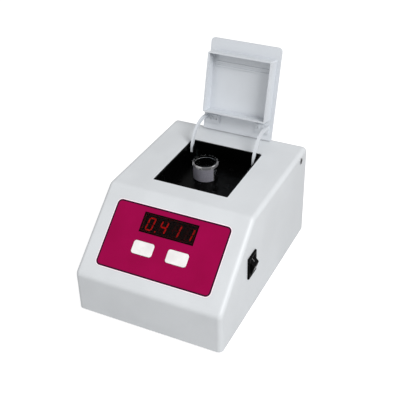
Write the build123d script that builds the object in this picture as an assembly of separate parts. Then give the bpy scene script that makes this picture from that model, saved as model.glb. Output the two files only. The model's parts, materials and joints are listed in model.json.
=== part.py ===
from build123d import *
import math
import os

# Bench water quality analyzer. A one piece wedge shaped housing carries a sloping key
# panel with a four digit display, a rocker switch on its right side and a dark sample
# chamber under a hinged lid. A round glass cell stands in an optical cell holder.
# Millimetres. X runs to the right, Y to the back and Z up. Feet stand on z = 0. While
# the pieces are made, y = 0 is the housing's front face; they are written out with the
# middle of the whole open analyzer over the origin. The lid is made closed, then opened.

# Housing shell, heights counted from its bottom edge
HOUSING_WIDTH = 150.0
HOUSING_DEPTH = 212.5
HOUSING_HEIGHT = 101.0
FRONT_FACE_HEIGHT = 42.0
SLOPE_DEPTH = 72.0
WALL = 3.0
SIDE_EDGE_RADIUS = 4.5
SLOPE_EDGE_RADIUS = 8.0
REAR_EDGE_RADIUS = 6.0

# Feet and base plate
FOOT_DIAMETER = 14.0
FOOT_HEIGHT = 1.5
FOOT_INSET = 22.0
BASE_THICKNESS = 2.5
BASE_CLEARANCE = 0.3
POST_RADIUS = 4.0
POST_HEIGHT = 16.0
POST_INSET = 11.0

# Chamber opening in the top
OPENING_FRONT_Y = 92.2
OPENING_LENGTH = 86.3
OPENING_WIDTH = 78.6
OPENING_REAR_RADIUS = 4.5
OPENING_FRONT_RADIUS = 0.8

# Chamber liner
LINER_CLEARANCE = 0.3
LINER_WALL = 1.6
LINER_BELOW_TOP = 0.8
DECK_DEPTH = 17.3
DECK_THICKNESS = 2.0
LINER_FLANGE_WIDTH = 11.5
LINER_FLANGE_THICKNESS = 2.0
LINER_BOSS_HEIGHT = 4.0
LINER_BOSS_RADIUS = 3.5

# Lid, as it lies closed
LID_WIDTH = 76.6
LID_FRONT_OVERLAP = 6.5
LID_REAR_OVERLAP = 2.5
LID_SEAT_GAP = 0.3
LID_THICKNESS = 2.9
LID_FRONT_RADIUS = 4.0
LID_REAR_RADIUS = 1.5
LID_EDGE_RADIUS = 1.1
HOOD_FRONT_FLANGE = 12.3
HOOD_LENGTH = 62.3
HOOD_WIDTH = 68.8
HOOD_WALL = 1.5
HOOD_DEPTH = 14.8
HOOD_FLOOR = 0.6
HOOD_RIB_HEIGHT = 1.0
HOOD_RIB_WIDTH = 1.5
HOOD_RIB_INSET = 3.0
HOOD_RIB_PLACES = (9.0, 13.0)
HOOD_CORNER_RADIUS = 1.5
HOOD_INNER_RADIUS = 0.6

# Hinge
AXLE_BEHIND_OPENING = 13.9
AXLE_BELOW_TOP = 7.5
AXLE_RADIUS = 2.0
OPEN_ANGLE = 104.5
ARM_X = 34.0
ARM_THICKNESS = 2.4
ARM_RADIUS = 25.5
ARM_BAND = 3.6
ARM_START_ANGLE = 180.0
ARM_TUCK_ANGLE = 1.0
SPOKE_WIDTH = 4.0
HUB_RADIUS = 4.0
HUB_LENGTH = 8.0
ARM_PAD_WIDTH = 15.0
ARM_PAD_LENGTH = 8.5
ARM_PAD_THICKNESS = 2.0
ARM_SCREWS_ALONG_PAD = (3.0, 9.0)
ARM_SLOT_CLEARANCE = 0.8
ARM_STOP_GAP = 0.3
HINGE_PIN_RADIUS = 0.6
BUSH_WALL = 1.2
BUSH_FLANGE_RADIUS = 3.7
BUSH_FLANGE_THICKNESS = 0.6
CLIP_THICKNESS = 0.8
CLIP_RADIUS = 3.6
CLIP_GROOVE_DEPTH = 0.35

# Fits
RUNNING_CLEARANCE = 0.05
SCREW_CLEARANCE = 0.05
PASS_CLEARANCE = 0.25

# Key panel on the slope, distances counted up the slope from its front edge
OVERLAY_WIDTH = 118.6
OVERLAY_LENGTH = 67.7
OVERLAY_BOTTOM = 12.8
OVERLAY_RADIUS = 5.6
OVERLAY_THICKNESS = 0.6
OVERLAY_PROUD = 0.1
WINDOW_WIDTH = 55.7
WINDOW_LENGTH = 19.6
WINDOW_CENTRE = 63.8
WINDOW_THICKNESS = 1.6
WINDOW_LEDGE = 1.2
WINDOW_CLEARANCE = 0.1
KEY_WIDTH = 21.0
KEY_LENGTH = 12.8
KEY_RADIUS = 2.6
KEY_X = 17.6
KEY_CENTRE = 39.3
KEY_PROUD = 0.8
KEY_FLANGE = 1.5
KEY_FLANGE_THICKNESS = 1.2
KEY_REST_GAP = 0.15
KEY_TRAVEL = 0.5
KEY_STEM_RADIUS = 2.2

# Display board behind the slope
DISPLAY_BOARD_DEPTH = 12.0
DISPLAY_BOARD_WIDTH = 100.0
DISPLAY_BOARD_LENGTH = 56.0
DISPLAY_BOARD_CENTRE = 48.0
BOARD_THICKNESS = 1.6
BOARD_CORNER = 2.0
DISPLAY_WALL_GAP = 0.3
DISPLAY_WIDTH = 53.0
DISPLAY_LENGTH = 19.0
DIGIT_HEIGHT = 13.2
DIGIT_WIDTH = 7.3
DIGIT_PITCH = 13.4
DIGIT_SLANT = 8.0
SEGMENT_WIDTH = 1.5
SEGMENT_DEPTH = 0.4
READING = "0411"
SWITCH_SIZE = 6.0
SWITCH_HEIGHT = 3.5
SWITCH_CORNER = 0.4
PLUNGER_RADIUS = 1.7
PLUNGER_SHOWN = 1.5
PLUNGER_SUNK = 1.4
STANDOFF_RADIUS = 3.0
STANDOFF_INSET = 4.5

# Sample cell and its holder
CELL_X = -7.6
CELL_Y = 143.4
CELL_RADIUS = 12.5
CELL_HEIGHT = 60.0
CELL_WALL = 1.2
CELL_LIP_RADIUS = 13.0
CELL_LIP_HEIGHT = 2.8
CELL_FOOT_RADIUS = 1.2
CELL_FLOOR = 2.0
CELL_RIM_BELOW_TOP = 0.7
CELL_CLEARANCE = 0.2
WATER_BELOW_RIM = 11.0
HOLDER_HALF_X = 25.0
HOLDER_HALF_Y = 19.0
HOLDER_FLOOR = 3.0
HOLDER_FLANGE_HALF = 24.0
HOLDER_FLANGE_THICKNESS = 5.0
HOLDER_FLANGE_CORNER = 3.0
LIGHT_PATH_HEIGHT = 20.0
LIGHT_HOLE_RADIUS = 3.0
LENS_RADIUS = 4.0
LENS_THICKNESS = 2.5
LENS_CENTRE_RISE = 0.8
OPTIC_SEAT = 2.0
FILTER_THICKNESS = 2.0
LED_RADIUS = 2.5
LED_LENGTH = 6.0
DIODE_RADIUS = 2.7
DIODE_LENGTH = 4.5
OPTIC_BOARD_SIZE = 17.0
OPTIC_SCREW_INSET = 2.5
OPTIC_SCREW_HOLE_DEPTH = 6.0

# Main board on the base plate
MAIN_BOARD_WIDTH = 100.0
MAIN_BOARD_LENGTH = 80.0
MAIN_BOARD_X = -10.0
MAIN_BOARD_Y = 110.0
MAIN_BOARD_LIFT = 8.0

# Rocker switch on the right side, its height counted from the housing's bottom edge
ROCKER_SWITCH_Y = 65.5
ROCKER_SWITCH_Z = 54.0
BEZEL_WIDTH = 17.5
BEZEL_HEIGHT = 23.0
BEZEL_THICKNESS = 2.0
SWITCH_CASE_WIDTH = 13.4
SWITCH_CASE_HEIGHT = 19.6
SWITCH_CASE_DEPTH = 16.0
SWITCH_FIT = 0.2
ROCKER_WIDTH = 10.4
ROCKER_HALF_HEIGHT = 8.0
ROCKER_END_RISE = 1.2
ROCKER_RIDGE_RISE = 5.8
ROCKER_TILT = 12.0
ROCKER_PIVOT_DEPTH = 1.5
ROCKER_GAP = 0.3
ROCKER_DEPTH = 4.5
ROCKER_RIDGE_RADIUS = 2.0
ROCKER_END_TAPER = 0.4
ROCKER_TAIL_SHARE = 0.6
TRUNNION_RADIUS = 1.2
TRUNNION_LENGTH = 0.8

# Power inlet on the rear, its height counted from the housing's bottom edge
INLET_X = 46.0
INLET_Z = 26.0
INLET_BARREL_RADIUS = 5.5
INLET_FLANGE_RADIUS = 7.5
INLET_FLANGE_THICKNESS = 1.8
INLET_LENGTH = 13.0
INLET_SOCKET_RADIUS = 3.1
INLET_SOCKET_DEPTH = 9.5
INLET_PIN_RADIUS = 1.05
INLET_NUT_RADIUS = 8.0
INLET_NUT_THICKNESS = 2.5
INLET_PIN_SET_BACK = 1.0
TAG_WIDTH = 2.4
TAG_THICKNESS = 0.6
TAG_LENGTH = 5.0
TAG_OFFSET = 3.0

# Blade terminals of the rocker switch
BLADE_WIDTH = 4.8
BLADE_THICKNESS = 0.8
BLADE_LENGTH = 7.0
BLADE_OFFSET = 5.0

# Electronic packages. Display board: left edge, low edge, width, length.
DISPLAY_CHIPS = [(-24.0, 52.0, 16.0, 8.0), (6.0, 54.0, 7.0, 6.0), (18.0, 54.0, 7.0, 6.0)]
DISPLAY_CHIP_HEIGHT = 1.8
# Main board: x and y from the board's centre, width, length, height.
MAIN_CHIPS = [
    (-6.0, 8.0, 12.0, 12.0, 1.6),
    (-28.0, 8.0, 8.0, 10.0, 1.8),
    (16.0, 6.0, 6.0, 8.0, 1.6),
    (36.0, -10.0, 10.0, 9.0, 4.5),
]
CAPACITOR_EDGE_INSET = 14.0
CAPACITOR_ROW = (6.0, 18.0)
CAPACITOR_RADIUS = 4.0
CAPACITOR_HEIGHT = 11.0

# Ribbon cable and its headers
RIBBON_WIDTH = 14.0
RIBBON_THICKNESS = 0.9
RIBBON_BEND = 8.0
RIBBON_RUN_OUT = 12.0
RIBBON_RISE = 16.0
HEADER_WIDTH = 18.0
HEADER_DEPTH = 8.0
HEADER_HEIGHT = 7.0
UPPER_HEADER_CENTRE = 38.0
LOWER_HEADER_INSET = 12.0

# Leads and their plugs, plug places counted from the main board's centre
LEAD_RADIUS = 1.0
LEAD_BEND = 4.0
LEAD_RUN_OUT = 9.0
LEAD_RISE = 14.0
LEAD_SPACING = 3.0
LEAD_SWITCH_APPROACH = 25.0
PLUG_SIZE = 6.0
LAMP_PLUG = (-42.0, 12.0)
DETECTOR_PLUG = (39.0, 28.0)
POWER_PLUG = (44.0, -20.0)

# Screw sizes: shank radius, head radius, head height
BASE_SCREW = (1.5, 2.8, 1.6)
BOARD_SCREW = (1.1, 2.2, 1.4)
LINER_SCREW = (1.2, 2.3, 1.5)
ARM_SCREW = (1.0, 2.0, 0.8)
OPTIC_SCREW = (0.9, 1.7, 1.1)
BASE_SCREW_GRIP = 9.0
BOARD_SCREW_GRIP = 5.0
ARM_SCREW_GRIP = 1.9
OPTIC_SCREW_GRIP = 5.5
THREAD_SPARE = 1.0

# Levels and places worked out from the sizes above
bottom = FOOT_HEIGHT
top = bottom + HOUSING_HEIGHT
ceiling = top - WALL
base_top = bottom + BASE_THICKNESS
half_width = HOUSING_WIDTH / 2
opening_rear_y = OPENING_FRONT_Y + OPENING_LENGTH
opening_mid_y = OPENING_FRONT_Y + OPENING_LENGTH / 2
deck_top = top - DECK_DEPTH
deck_bottom = deck_top - DECK_THICKNESS
axle_y = opening_rear_y + AXLE_BEHIND_OPENING
axle_z = top - AXLE_BELOW_TOP
lid_bottom = top + LID_SEAT_GAP
lid_top = lid_bottom + LID_THICKNESS
lid_front_y = OPENING_FRONT_Y - LID_FRONT_OVERLAP
lid_rear_y = opening_rear_y + LID_REAR_OVERLAP
cell_rim = top - CELL_RIM_BELOW_TOP
cell_bottom = cell_rim - CELL_HEIGHT
light_z = cell_bottom + LIGHT_PATH_HEIGHT
slope_angle = math.degrees(math.atan2(HOUSING_HEIGHT - FRONT_FACE_HEIGHT, SLOPE_DEPTH))
slope = Plane(
    origin=(0, 0, bottom + FRONT_FACE_HEIGHT),
    x_dir=(1, 0, 0),
    z_dir=(0, -math.sin(math.radians(slope_angle)), math.cos(math.radians(slope_angle))),
)
board_top = -DISPLAY_BOARD_DEPTH
board_bottom = board_top - BOARD_THICKNESS
switch_z = bottom + ROCKER_SWITCH_Z
inlet_z = bottom + INLET_Z

parts = {}


def block(x0, x1, y0, y1, z0, z1):
    """A box between two corners."""
    centre = Pos((x0 + x1) / 2, (y0 + y1) / 2, (z0 + z1) / 2)
    return centre * Box(abs(x1 - x0), abs(y1 - y0), abs(z1 - z0))


def post(x, y, z0, z1, radius):
    """An upright cylinder between two heights."""
    return Pos(x, y, (z0 + z1) / 2) * Cylinder(radius, abs(z1 - z0))


def rod_x(y, z, x0, x1, radius):
    """A cylinder along X."""
    return Pos((x0 + x1) / 2, y, z) * Rot(0, 90, 0) * Cylinder(radius, abs(x1 - x0))


def rod_y(x, z, y0, y1, radius):
    """A cylinder along Y."""
    return Pos(x, (y0 + y1) / 2, z) * Rot(90, 0, 0) * Cylinder(radius, abs(y1 - y0))


def tile(width, length, z0, z1, radius, x=0.0, y=0.0):
    """A plate with rounded corners between two heights."""
    outline = Pos(x, y, z0) * RectangleRounded(width, length, radius)
    return extrude(outline, amount=z1 - z0)


def on_slope(shape):
    """Carries a shape from the panel's own frame to the slope."""
    return slope.location * shape


def screw(x, y, head_z, point_z, radius, head_radius, head_height):
    """A pan head screw with its head outside head_z and its shank towards point_z."""
    away = 1 if head_z > point_z else -1
    head = post(x, y, head_z, head_z + away * head_height, head_radius)
    shank = post(x, y, head_z, point_z, radius)
    return head + shank


def group(shapes):
    """Keeps a list of alike pieces as separate solids of one node."""
    solids = []
    for shape in shapes:
        solids.extend(shape.solids())
    return Compound(children=solids)


# Places that several pieces share
post_x = half_width - WALL - POST_INSET / 2
base_screw_places = [
    (side * post_x, y)
    for side in (-1, 1)
    for y in (POST_INSET, HOUSING_DEPTH / 2, HOUSING_DEPTH - POST_INSET)
]
foot_places = [
    (side * (half_width - FOOT_INSET), y)
    for side in (-1, 1)
    for y in (FOOT_INSET, HOUSING_DEPTH - FOOT_INSET)
]
liner_half_width = OPENING_WIDTH / 2 - LINER_CLEARANCE
liner_front_y = OPENING_FRONT_Y + LINER_CLEARANCE
liner_rear_y = opening_rear_y - LINER_CLEARANCE
liner_screw_x = liner_half_width + LINER_FLANGE_WIDTH / 2
liner_screw_places = [
    (side * liner_screw_x, y)
    for side in (-1, 1)
    for y in (liner_front_y + LINER_FLANGE_WIDTH / 2, liner_rear_y - LINER_FLANGE_WIDTH)
]
display_reach_x = DISPLAY_BOARD_WIDTH / 2 - STANDOFF_INSET
display_reach_s = DISPLAY_BOARD_LENGTH / 2 - STANDOFF_INSET
board_screw_places = [
    (side * display_reach_x, DISPLAY_BOARD_CENTRE + end * display_reach_s)
    for side in (-1, 1)
    for end in (-1, 1)
]
main_reach_x = MAIN_BOARD_WIDTH / 2 - STANDOFF_INSET
main_reach_y = MAIN_BOARD_LENGTH / 2 - STANDOFF_INSET
main_screw_places = [
    (MAIN_BOARD_X + side * main_reach_x, MAIN_BOARD_Y + end * main_reach_y)
    for side in (-1, 1)
    for end in (-1, 1)
]
main_board_z = base_top + MAIN_BOARD_LIFT
main_board_top = main_board_z + BOARD_THICKNESS
lower_header_y = MAIN_BOARD_Y - MAIN_BOARD_LENGTH / 2 + LOWER_HEADER_INSET


def housing_outline(floor_z):
    """The side view of the housing, from a floor height up."""
    return Plane.YZ * Polygon(
        (0, floor_z),
        (0, bottom + FRONT_FACE_HEIGHT),
        (SLOPE_DEPTH, top),
        (HOUSING_DEPTH, top),
        (HOUSING_DEPTH, floor_z),
        align=None,
    )


def rounded_outline():
    """The side view with its upper corners rounded."""
    outline = housing_outline(bottom)
    corners = outline.vertices()
    above = bottom + FRONT_FACE_HEIGHT / 2
    slope_ends = [v for v in corners if v.Y < HOUSING_DEPTH / 2 and v.Z > above]
    outline = fillet(slope_ends, SLOPE_EDGE_RADIUS)
    rear = [v for v in outline.vertices() if v.Y > HOUSING_DEPTH - 1 and v.Z > top - 1]
    return fillet(rear, REAR_EDGE_RADIUS)


def opening_outline(shrink, z):
    """The chamber opening's outline, made smaller all round by a distance."""
    width = OPENING_WIDTH - 2 * shrink
    length = OPENING_LENGTH - 2 * shrink
    outline = Pos(0, opening_mid_y, z) * Rectangle(width, length)
    rear = [v for v in outline.vertices() if v.Y > opening_mid_y]
    outline = fillet(rear, max(OPENING_REAR_RADIUS - shrink, 0.5))
    front = outline.vertices().sort_by(Axis.Y)[0:2]
    return fillet(front, OPENING_FRONT_RADIUS)


def make_upper_housing():
    """The one piece shell with its posts, bosses, cut-outs and panel recess."""
    shell = extrude(rounded_outline(), amount=half_width, both=True)
    side_edges = [
        e
        for e in shell.edges()
        if abs(abs(e.center().X) - half_width) < 0.01 and e.center().Z > bottom + 0.01
    ]
    shell = fillet(side_edges, SIDE_EDGE_RADIUS)
    cavity = offset(housing_outline(bottom - 2 * WALL), amount=-WALL, kind=Kind.INTERSECTION)
    shell = shell - extrude(cavity, amount=half_width - WALL, both=True)

    for x, y in base_screw_places:
        wall_x = math.copysign(half_width - WALL / 2, x)
        column = post(x, y, base_top, base_top + POST_HEIGHT, POST_RADIUS)
        web = block(x, wall_x, y - WALL / 2, y + WALL / 2, base_top, base_top + POST_HEIGHT)
        shell = shell + column + web
    for x, y in liner_screw_places:
        shell = shell + post(x, y, ceiling - LINER_BOSS_HEIGHT, ceiling + WALL / 2, LINER_BOSS_RADIUS)
    for x, s in board_screw_places:
        shell = shell + on_slope(post(x, s, board_top, -WALL / 2, STANDOFF_RADIUS))

    base_radius = BASE_SCREW[0] + SCREW_CLEARANCE
    for x, y in base_screw_places:
        shell = shell - post(x, y, base_top - 1, base_top + BASE_SCREW_GRIP + THREAD_SPARE, base_radius)
    liner_radius = LINER_SCREW[0] + SCREW_CLEARANCE
    for x, y in liner_screw_places:
        shell = shell - post(x, y, ceiling - LINER_BOSS_HEIGHT - 1, ceiling + THREAD_SPARE, liner_radius)
    board_radius = BOARD_SCREW[0] + SCREW_CLEARANCE
    for x, s in board_screw_places:
        hole = post(x, s, board_top - 1, board_top + BOARD_SCREW_GRIP + THREAD_SPARE, board_radius)
        shell = shell - on_slope(hole)

    shell = shell - extrude(opening_outline(0, ceiling - 1), amount=WALL + 2)

    recess_depth = OVERLAY_THICKNESS - OVERLAY_PROUD
    overlay_y = OVERLAY_BOTTOM + OVERLAY_LENGTH / 2
    recess = tile(
        OVERLAY_WIDTH + 2 * WINDOW_CLEARANCE,
        OVERLAY_LENGTH + 2 * WINDOW_CLEARANCE,
        -recess_depth,
        WALL,
        OVERLAY_RADIUS + WINDOW_CLEARANCE,
        y=overlay_y,
    )
    window_pocket = block(
        -WINDOW_WIDTH / 2 - WINDOW_CLEARANCE,
        WINDOW_WIDTH / 2 + WINDOW_CLEARANCE,
        WINDOW_CENTRE - WINDOW_LENGTH / 2 - WINDOW_CLEARANCE,
        WINDOW_CENTRE + WINDOW_LENGTH / 2 + WINDOW_CLEARANCE,
        OVERLAY_PROUD - WINDOW_THICKNESS,
        WALL,
    )
    window_hole = block(
        -WINDOW_WIDTH / 2 + WINDOW_LEDGE,
        WINDOW_WIDTH / 2 - WINDOW_LEDGE,
        WINDOW_CENTRE - WINDOW_LENGTH / 2 + WINDOW_LEDGE,
        WINDOW_CENTRE + WINDOW_LENGTH / 2 - WINDOW_LEDGE,
        -2 * WALL,
        WALL,
    )
    shell = shell - on_slope(recess) - on_slope(window_pocket) - on_slope(window_hole)
    for side in (-1, 1):
        shell = shell - on_slope(key_hole(side * KEY_X, -2 * WALL, WALL))

    case_half_y = SWITCH_CASE_WIDTH / 2 + SWITCH_FIT
    case_half_z = SWITCH_CASE_HEIGHT / 2 + SWITCH_FIT
    shell = shell - block(
        half_width - 2 * WALL,
        half_width + 1,
        ROCKER_SWITCH_Y - case_half_y,
        ROCKER_SWITCH_Y + case_half_y,
        switch_z - case_half_z,
        switch_z + case_half_z,
    )
    inlet_hole = INLET_BARREL_RADIUS + SWITCH_FIT
    shell = shell - rod_y(INLET_X, inlet_z, HOUSING_DEPTH - 2 * WALL, HOUSING_DEPTH + 1, inlet_hole)
    bush_hole = AXLE_RADIUS + RUNNING_CLEARANCE + BUSH_WALL + SCREW_CLEARANCE
    shell = shell - rod_x(axle_y, axle_z, -half_width - 1, half_width + 1, bush_hole)
    return shell


def key_hole(x, z0, z1):
    """The opening that a key passes through, in the panel's frame."""
    return tile(
        KEY_WIDTH + 2 * PASS_CLEARANCE,
        KEY_LENGTH + 2 * PASS_CLEARANCE,
        z0,
        z1,
        KEY_RADIUS + PASS_CLEARANCE,
        x=x,
        y=KEY_CENTRE,
    )


def make_base_plate():
    """The bottom cover with standoffs for the main board."""
    inside_x = half_width - WALL - BASE_CLEARANCE
    plate = block(
        -inside_x,
        inside_x,
        WALL + BASE_CLEARANCE,
        HOUSING_DEPTH - WALL - BASE_CLEARANCE,
        bottom,
        base_top,
    )
    for x, y in main_screw_places:
        plate = plate + post(x, y, base_top - BASE_THICKNESS / 2, main_board_z, STANDOFF_RADIUS)
    for x, y in main_screw_places:
        hole = BOARD_SCREW[0] + SCREW_CLEARANCE
        plate = plate - post(x, y, main_board_z - BOARD_SCREW_GRIP - THREAD_SPARE, main_board_z + 1, hole)
    shank, head, height = BASE_SCREW
    for x, y in base_screw_places:
        plate = plate - post(x, y, bottom - 1, base_top + 1, shank + PASS_CLEARANCE)
        plate = plate - post(x, y, bottom - 1, bottom + height, head + PASS_CLEARANCE)
    return plate


def make_base_screws():
    """Six screws that hold the base plate to the housing's posts."""
    shank, head, height = BASE_SCREW
    return group([
        screw(x, y, bottom + height, base_top + BASE_SCREW_GRIP, shank, head, height)
        for x, y in base_screw_places
    ])


def make_feet():
    """Four round rubber feet under the base plate."""
    feet = []
    for x, y in foot_places:
        foot = post(x, y, 0, FOOT_HEIGHT, FOOT_DIAMETER / 2)
        feet.append(fillet(foot.edges().sort_by(Axis.Z)[0], FOOT_HEIGHT / 3))
    return group(feet)


def make_overlay():
    """The coloured sheet of the key panel, with its window and key openings."""
    overlay_y = OVERLAY_BOTTOM + OVERLAY_LENGTH / 2
    low = OVERLAY_PROUD - OVERLAY_THICKNESS
    sheet = tile(OVERLAY_WIDTH, OVERLAY_LENGTH, low, OVERLAY_PROUD, OVERLAY_RADIUS, y=overlay_y)
    window = block(
        -WINDOW_WIDTH / 2 - WINDOW_CLEARANCE,
        WINDOW_WIDTH / 2 + WINDOW_CLEARANCE,
        WINDOW_CENTRE - WINDOW_LENGTH / 2 - WINDOW_CLEARANCE,
        WINDOW_CENTRE + WINDOW_LENGTH / 2 + WINDOW_CLEARANCE,
        low - 1,
        OVERLAY_PROUD + 1,
    )
    sheet = sheet - window
    for side in (-1, 1):
        sheet = sheet - key_hole(side * KEY_X, low - 1, OVERLAY_PROUD + 1)
    return on_slope(sheet)


def make_window():
    """The dark red pane in front of the digits, on a ledge in the housing."""
    pane = block(
        -WINDOW_WIDTH / 2,
        WINDOW_WIDTH / 2,
        WINDOW_CENTRE - WINDOW_LENGTH / 2,
        WINDOW_CENTRE + WINDOW_LENGTH / 2,
        OVERLAY_PROUD - WINDOW_THICKNESS,
        OVERLAY_PROUD,
    )
    return on_slope(pane)


def bar_outline(length, width):
    """A six sided bar along X, as in a seven segment digit."""
    half = length / 2
    tip = width / 2
    upper = [(-half, 0), (-half + tip, tip), (half - tip, tip)]
    return upper + [(half, 0), (half - tip, -tip), (-half + tip, -tip)]


def segment_face(letter):
    """One of the seven segments of an upright digit centred on the origin."""
    across = DIGIT_WIDTH - SEGMENT_WIDTH
    half_up = (DIGIT_HEIGHT - SEGMENT_WIDTH) / 2
    gap = SEGMENT_WIDTH * 0.15
    places = {
        "a": (0, half_up, False),
        "g": (0, 0, False),
        "d": (0, -half_up, False),
        "f": (-across / 2, half_up / 2, True),
        "b": (across / 2, half_up / 2, True),
        "e": (-across / 2, -half_up / 2, True),
        "c": (across / 2, -half_up / 2, True),
    }
    x, y, upright = places[letter]
    points = bar_outline((half_up if upright else across) - gap, SEGMENT_WIDTH)
    if upright:
        points = [(-v, u) for u, v in points]
    lean = math.tan(math.radians(DIGIT_SLANT))
    return [(x + u + (y + v) * lean, y + v) for u, v in points]


LIT = {"0": "abcdef", "1": "bc", "4": "bcfg"}


def segment_solids(lit):
    """The light guides of the lit or of the unlit segments, in the panel's frame."""
    face_z = -WALL - DISPLAY_WALL_GAP
    solids = []
    for place, digit in enumerate(READING):
        x = (place - (len(READING) - 1) / 2) * DIGIT_PITCH
        for letter in "abcdefg":
            if (letter in LIT[digit]) == lit:
                outline = Polygon(*segment_face(letter), align=None)
                guide = extrude(outline, amount=SEGMENT_DEPTH, dir=(0, 0, 1))
                solids.append(Pos(x, WINDOW_CENTRE, face_z - SEGMENT_DEPTH) * guide)
        if (place == 0) == lit:
            dot_x = x + DIGIT_PITCH / 2
            dot_y = WINDOW_CENTRE - (DIGIT_HEIGHT - SEGMENT_WIDTH) / 2
            solids.append(post(dot_x, dot_y, face_z - SEGMENT_DEPTH, face_z, SEGMENT_WIDTH / 2))
    return solids


def make_display_module():
    """The four digit display block, with a pocket for each light guide."""
    face_z = -WALL - DISPLAY_WALL_GAP
    body = block(
        -DISPLAY_WIDTH / 2,
        DISPLAY_WIDTH / 2,
        WINDOW_CENTRE - DISPLAY_LENGTH / 2,
        WINDOW_CENTRE + DISPLAY_LENGTH / 2,
        board_top,
        face_z,
    )
    for solid in segment_solids(True) + segment_solids(False):
        body = body - solid
    return on_slope(body)


def make_display_board():
    """The board behind the slope."""
    board = tile(
        DISPLAY_BOARD_WIDTH, DISPLAY_BOARD_LENGTH, board_bottom, board_top, BOARD_CORNER,
        y=DISPLAY_BOARD_CENTRE,
    )
    hole = BOARD_SCREW[0] + PASS_CLEARANCE
    for x, s in board_screw_places:
        board = board - post(x, s, board_bottom - 1, board_top + 1, hole)
    return on_slope(board)


def make_display_screws():
    """Screws from behind through the display board into the housing's standoffs."""
    shank, head, height = BOARD_SCREW
    return group([
        on_slope(screw(x, s, board_bottom, board_top + BOARD_SCREW_GRIP, shank, head, height))
        for x, s in board_screw_places
    ])


def make_display_chips():
    """The display driver and two small packages on the back of the display board."""
    low = board_bottom - DISPLAY_CHIP_HEIGHT
    return group([
        on_slope(block(x, x + width, s, s + length, low, board_bottom))
        for x, s, width, length in DISPLAY_CHIPS
    ])


def make_ribbon_headers():
    """The two box headers that the ribbon plugs into."""
    width = HEADER_WIDTH
    upper = block(
        -width / 2,
        width / 2,
        UPPER_HEADER_CENTRE - HEADER_DEPTH / 2,
        UPPER_HEADER_CENTRE + HEADER_DEPTH / 2,
        board_bottom - HEADER_HEIGHT,
        board_bottom,
    )
    lower = block(
        -width / 2,
        width / 2,
        lower_header_y - HEADER_DEPTH / 2,
        lower_header_y + HEADER_DEPTH / 2,
        main_board_top,
        main_board_top + HEADER_HEIGHT,
    )
    return group([on_slope(upper), lower])


def make_ribbon():
    """The flat cable between the two boards, one run in the Y Z plane."""
    header_face = board_bottom - HEADER_HEIGHT
    start = slope.from_local_coords((0, UPPER_HEADER_CENTRE, header_face))
    out = slope.from_local_coords((0, UPPER_HEADER_CENTRE, header_face - RIBBON_RUN_OUT))
    end_z = main_board_top + HEADER_HEIGHT
    points = [
        (0, start.Y, start.Z),
        (0, out.Y, out.Z),
        (0, lower_header_y, end_z + RIBBON_RISE),
        (0, lower_header_y, end_z),
    ]
    run = FilletPolyline(*points, radius=RIBBON_BEND)
    plane = Plane(origin=run @ 0, x_dir=(1, 0, 0), z_dir=run % 0)
    return sweep(plane * Rectangle(RIBBON_WIDTH, RIBBON_THICKNESS), path=run)


def make_key(side):
    """A key cap with a retaining flange behind the wall and a stem to its switch."""
    x = side * KEY_X
    flange_top = -WALL - KEY_REST_GAP
    flange_low = flange_top - KEY_FLANGE_THICKNESS
    cap_top = OVERLAY_PROUD + KEY_PROUD
    cap = tile(KEY_WIDTH, KEY_LENGTH, flange_low, cap_top, KEY_RADIUS, x=x, y=KEY_CENTRE)
    cap = fillet(cap.edges().group_by(Axis.Z)[-1], KEY_PROUD / 2)
    flange = tile(
        KEY_WIDTH + 2 * KEY_FLANGE,
        KEY_LENGTH + 2 * KEY_FLANGE,
        flange_low,
        flange_top,
        KEY_RADIUS,
        x=x,
        y=KEY_CENTRE,
    )
    stem_low = board_top + SWITCH_HEIGHT + PLUNGER_SHOWN
    stem_high = (flange_low + flange_top) / 2
    stem = post(x, KEY_CENTRE, stem_low, stem_high, KEY_STEM_RADIUS)
    return on_slope(cap + flange + stem)


def make_plunger(side):
    """The plunger of the switch under a key."""
    high = board_top + SWITCH_HEIGHT + PLUNGER_SHOWN
    low = board_top + SWITCH_HEIGHT - PLUNGER_SUNK
    return on_slope(post(side * KEY_X, KEY_CENTRE, low, high, PLUNGER_RADIUS))


def make_key_switches():
    """The two push switch bodies on the display board."""
    bodies = []
    for side in (-1, 1):
        x = side * KEY_X
        body = tile(
            SWITCH_SIZE, SWITCH_SIZE, board_top, board_top + SWITCH_HEIGHT, SWITCH_CORNER, x=x, y=KEY_CENTRE
        )
        depth = board_top + SWITCH_HEIGHT - PLUNGER_SUNK - KEY_TRAVEL - PASS_CLEARANCE
        well = post(x, KEY_CENTRE, depth, 0, PLUNGER_RADIUS + RUNNING_CLEARANCE)
        bodies.append(on_slope(body - well))
    return group(bodies)


def arm_slot(side):
    """The slot in the liner that a hinge arm swings through."""
    half = ARM_THICKNESS / 2 + ARM_SLOT_CLEARANCE
    lean = math.radians(ARM_TUCK_ANGLE) - math.asin(SPOKE_WIDTH / 2 / ARM_RADIUS)
    reach = axle_y - liner_rear_y
    spoke_top = axle_z - reach * math.tan(lean) + SPOKE_WIDTH / 2 / math.cos(lean)
    return block(
        side * ARM_X - half,
        side * ARM_X + half,
        axle_y - ARM_RADIUS - ARM_BAND / 2 - ARM_SLOT_CLEARANCE,
        liner_rear_y + 1,
        deck_bottom - 1,
        spoke_top + ARM_STOP_GAP,
    )


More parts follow.
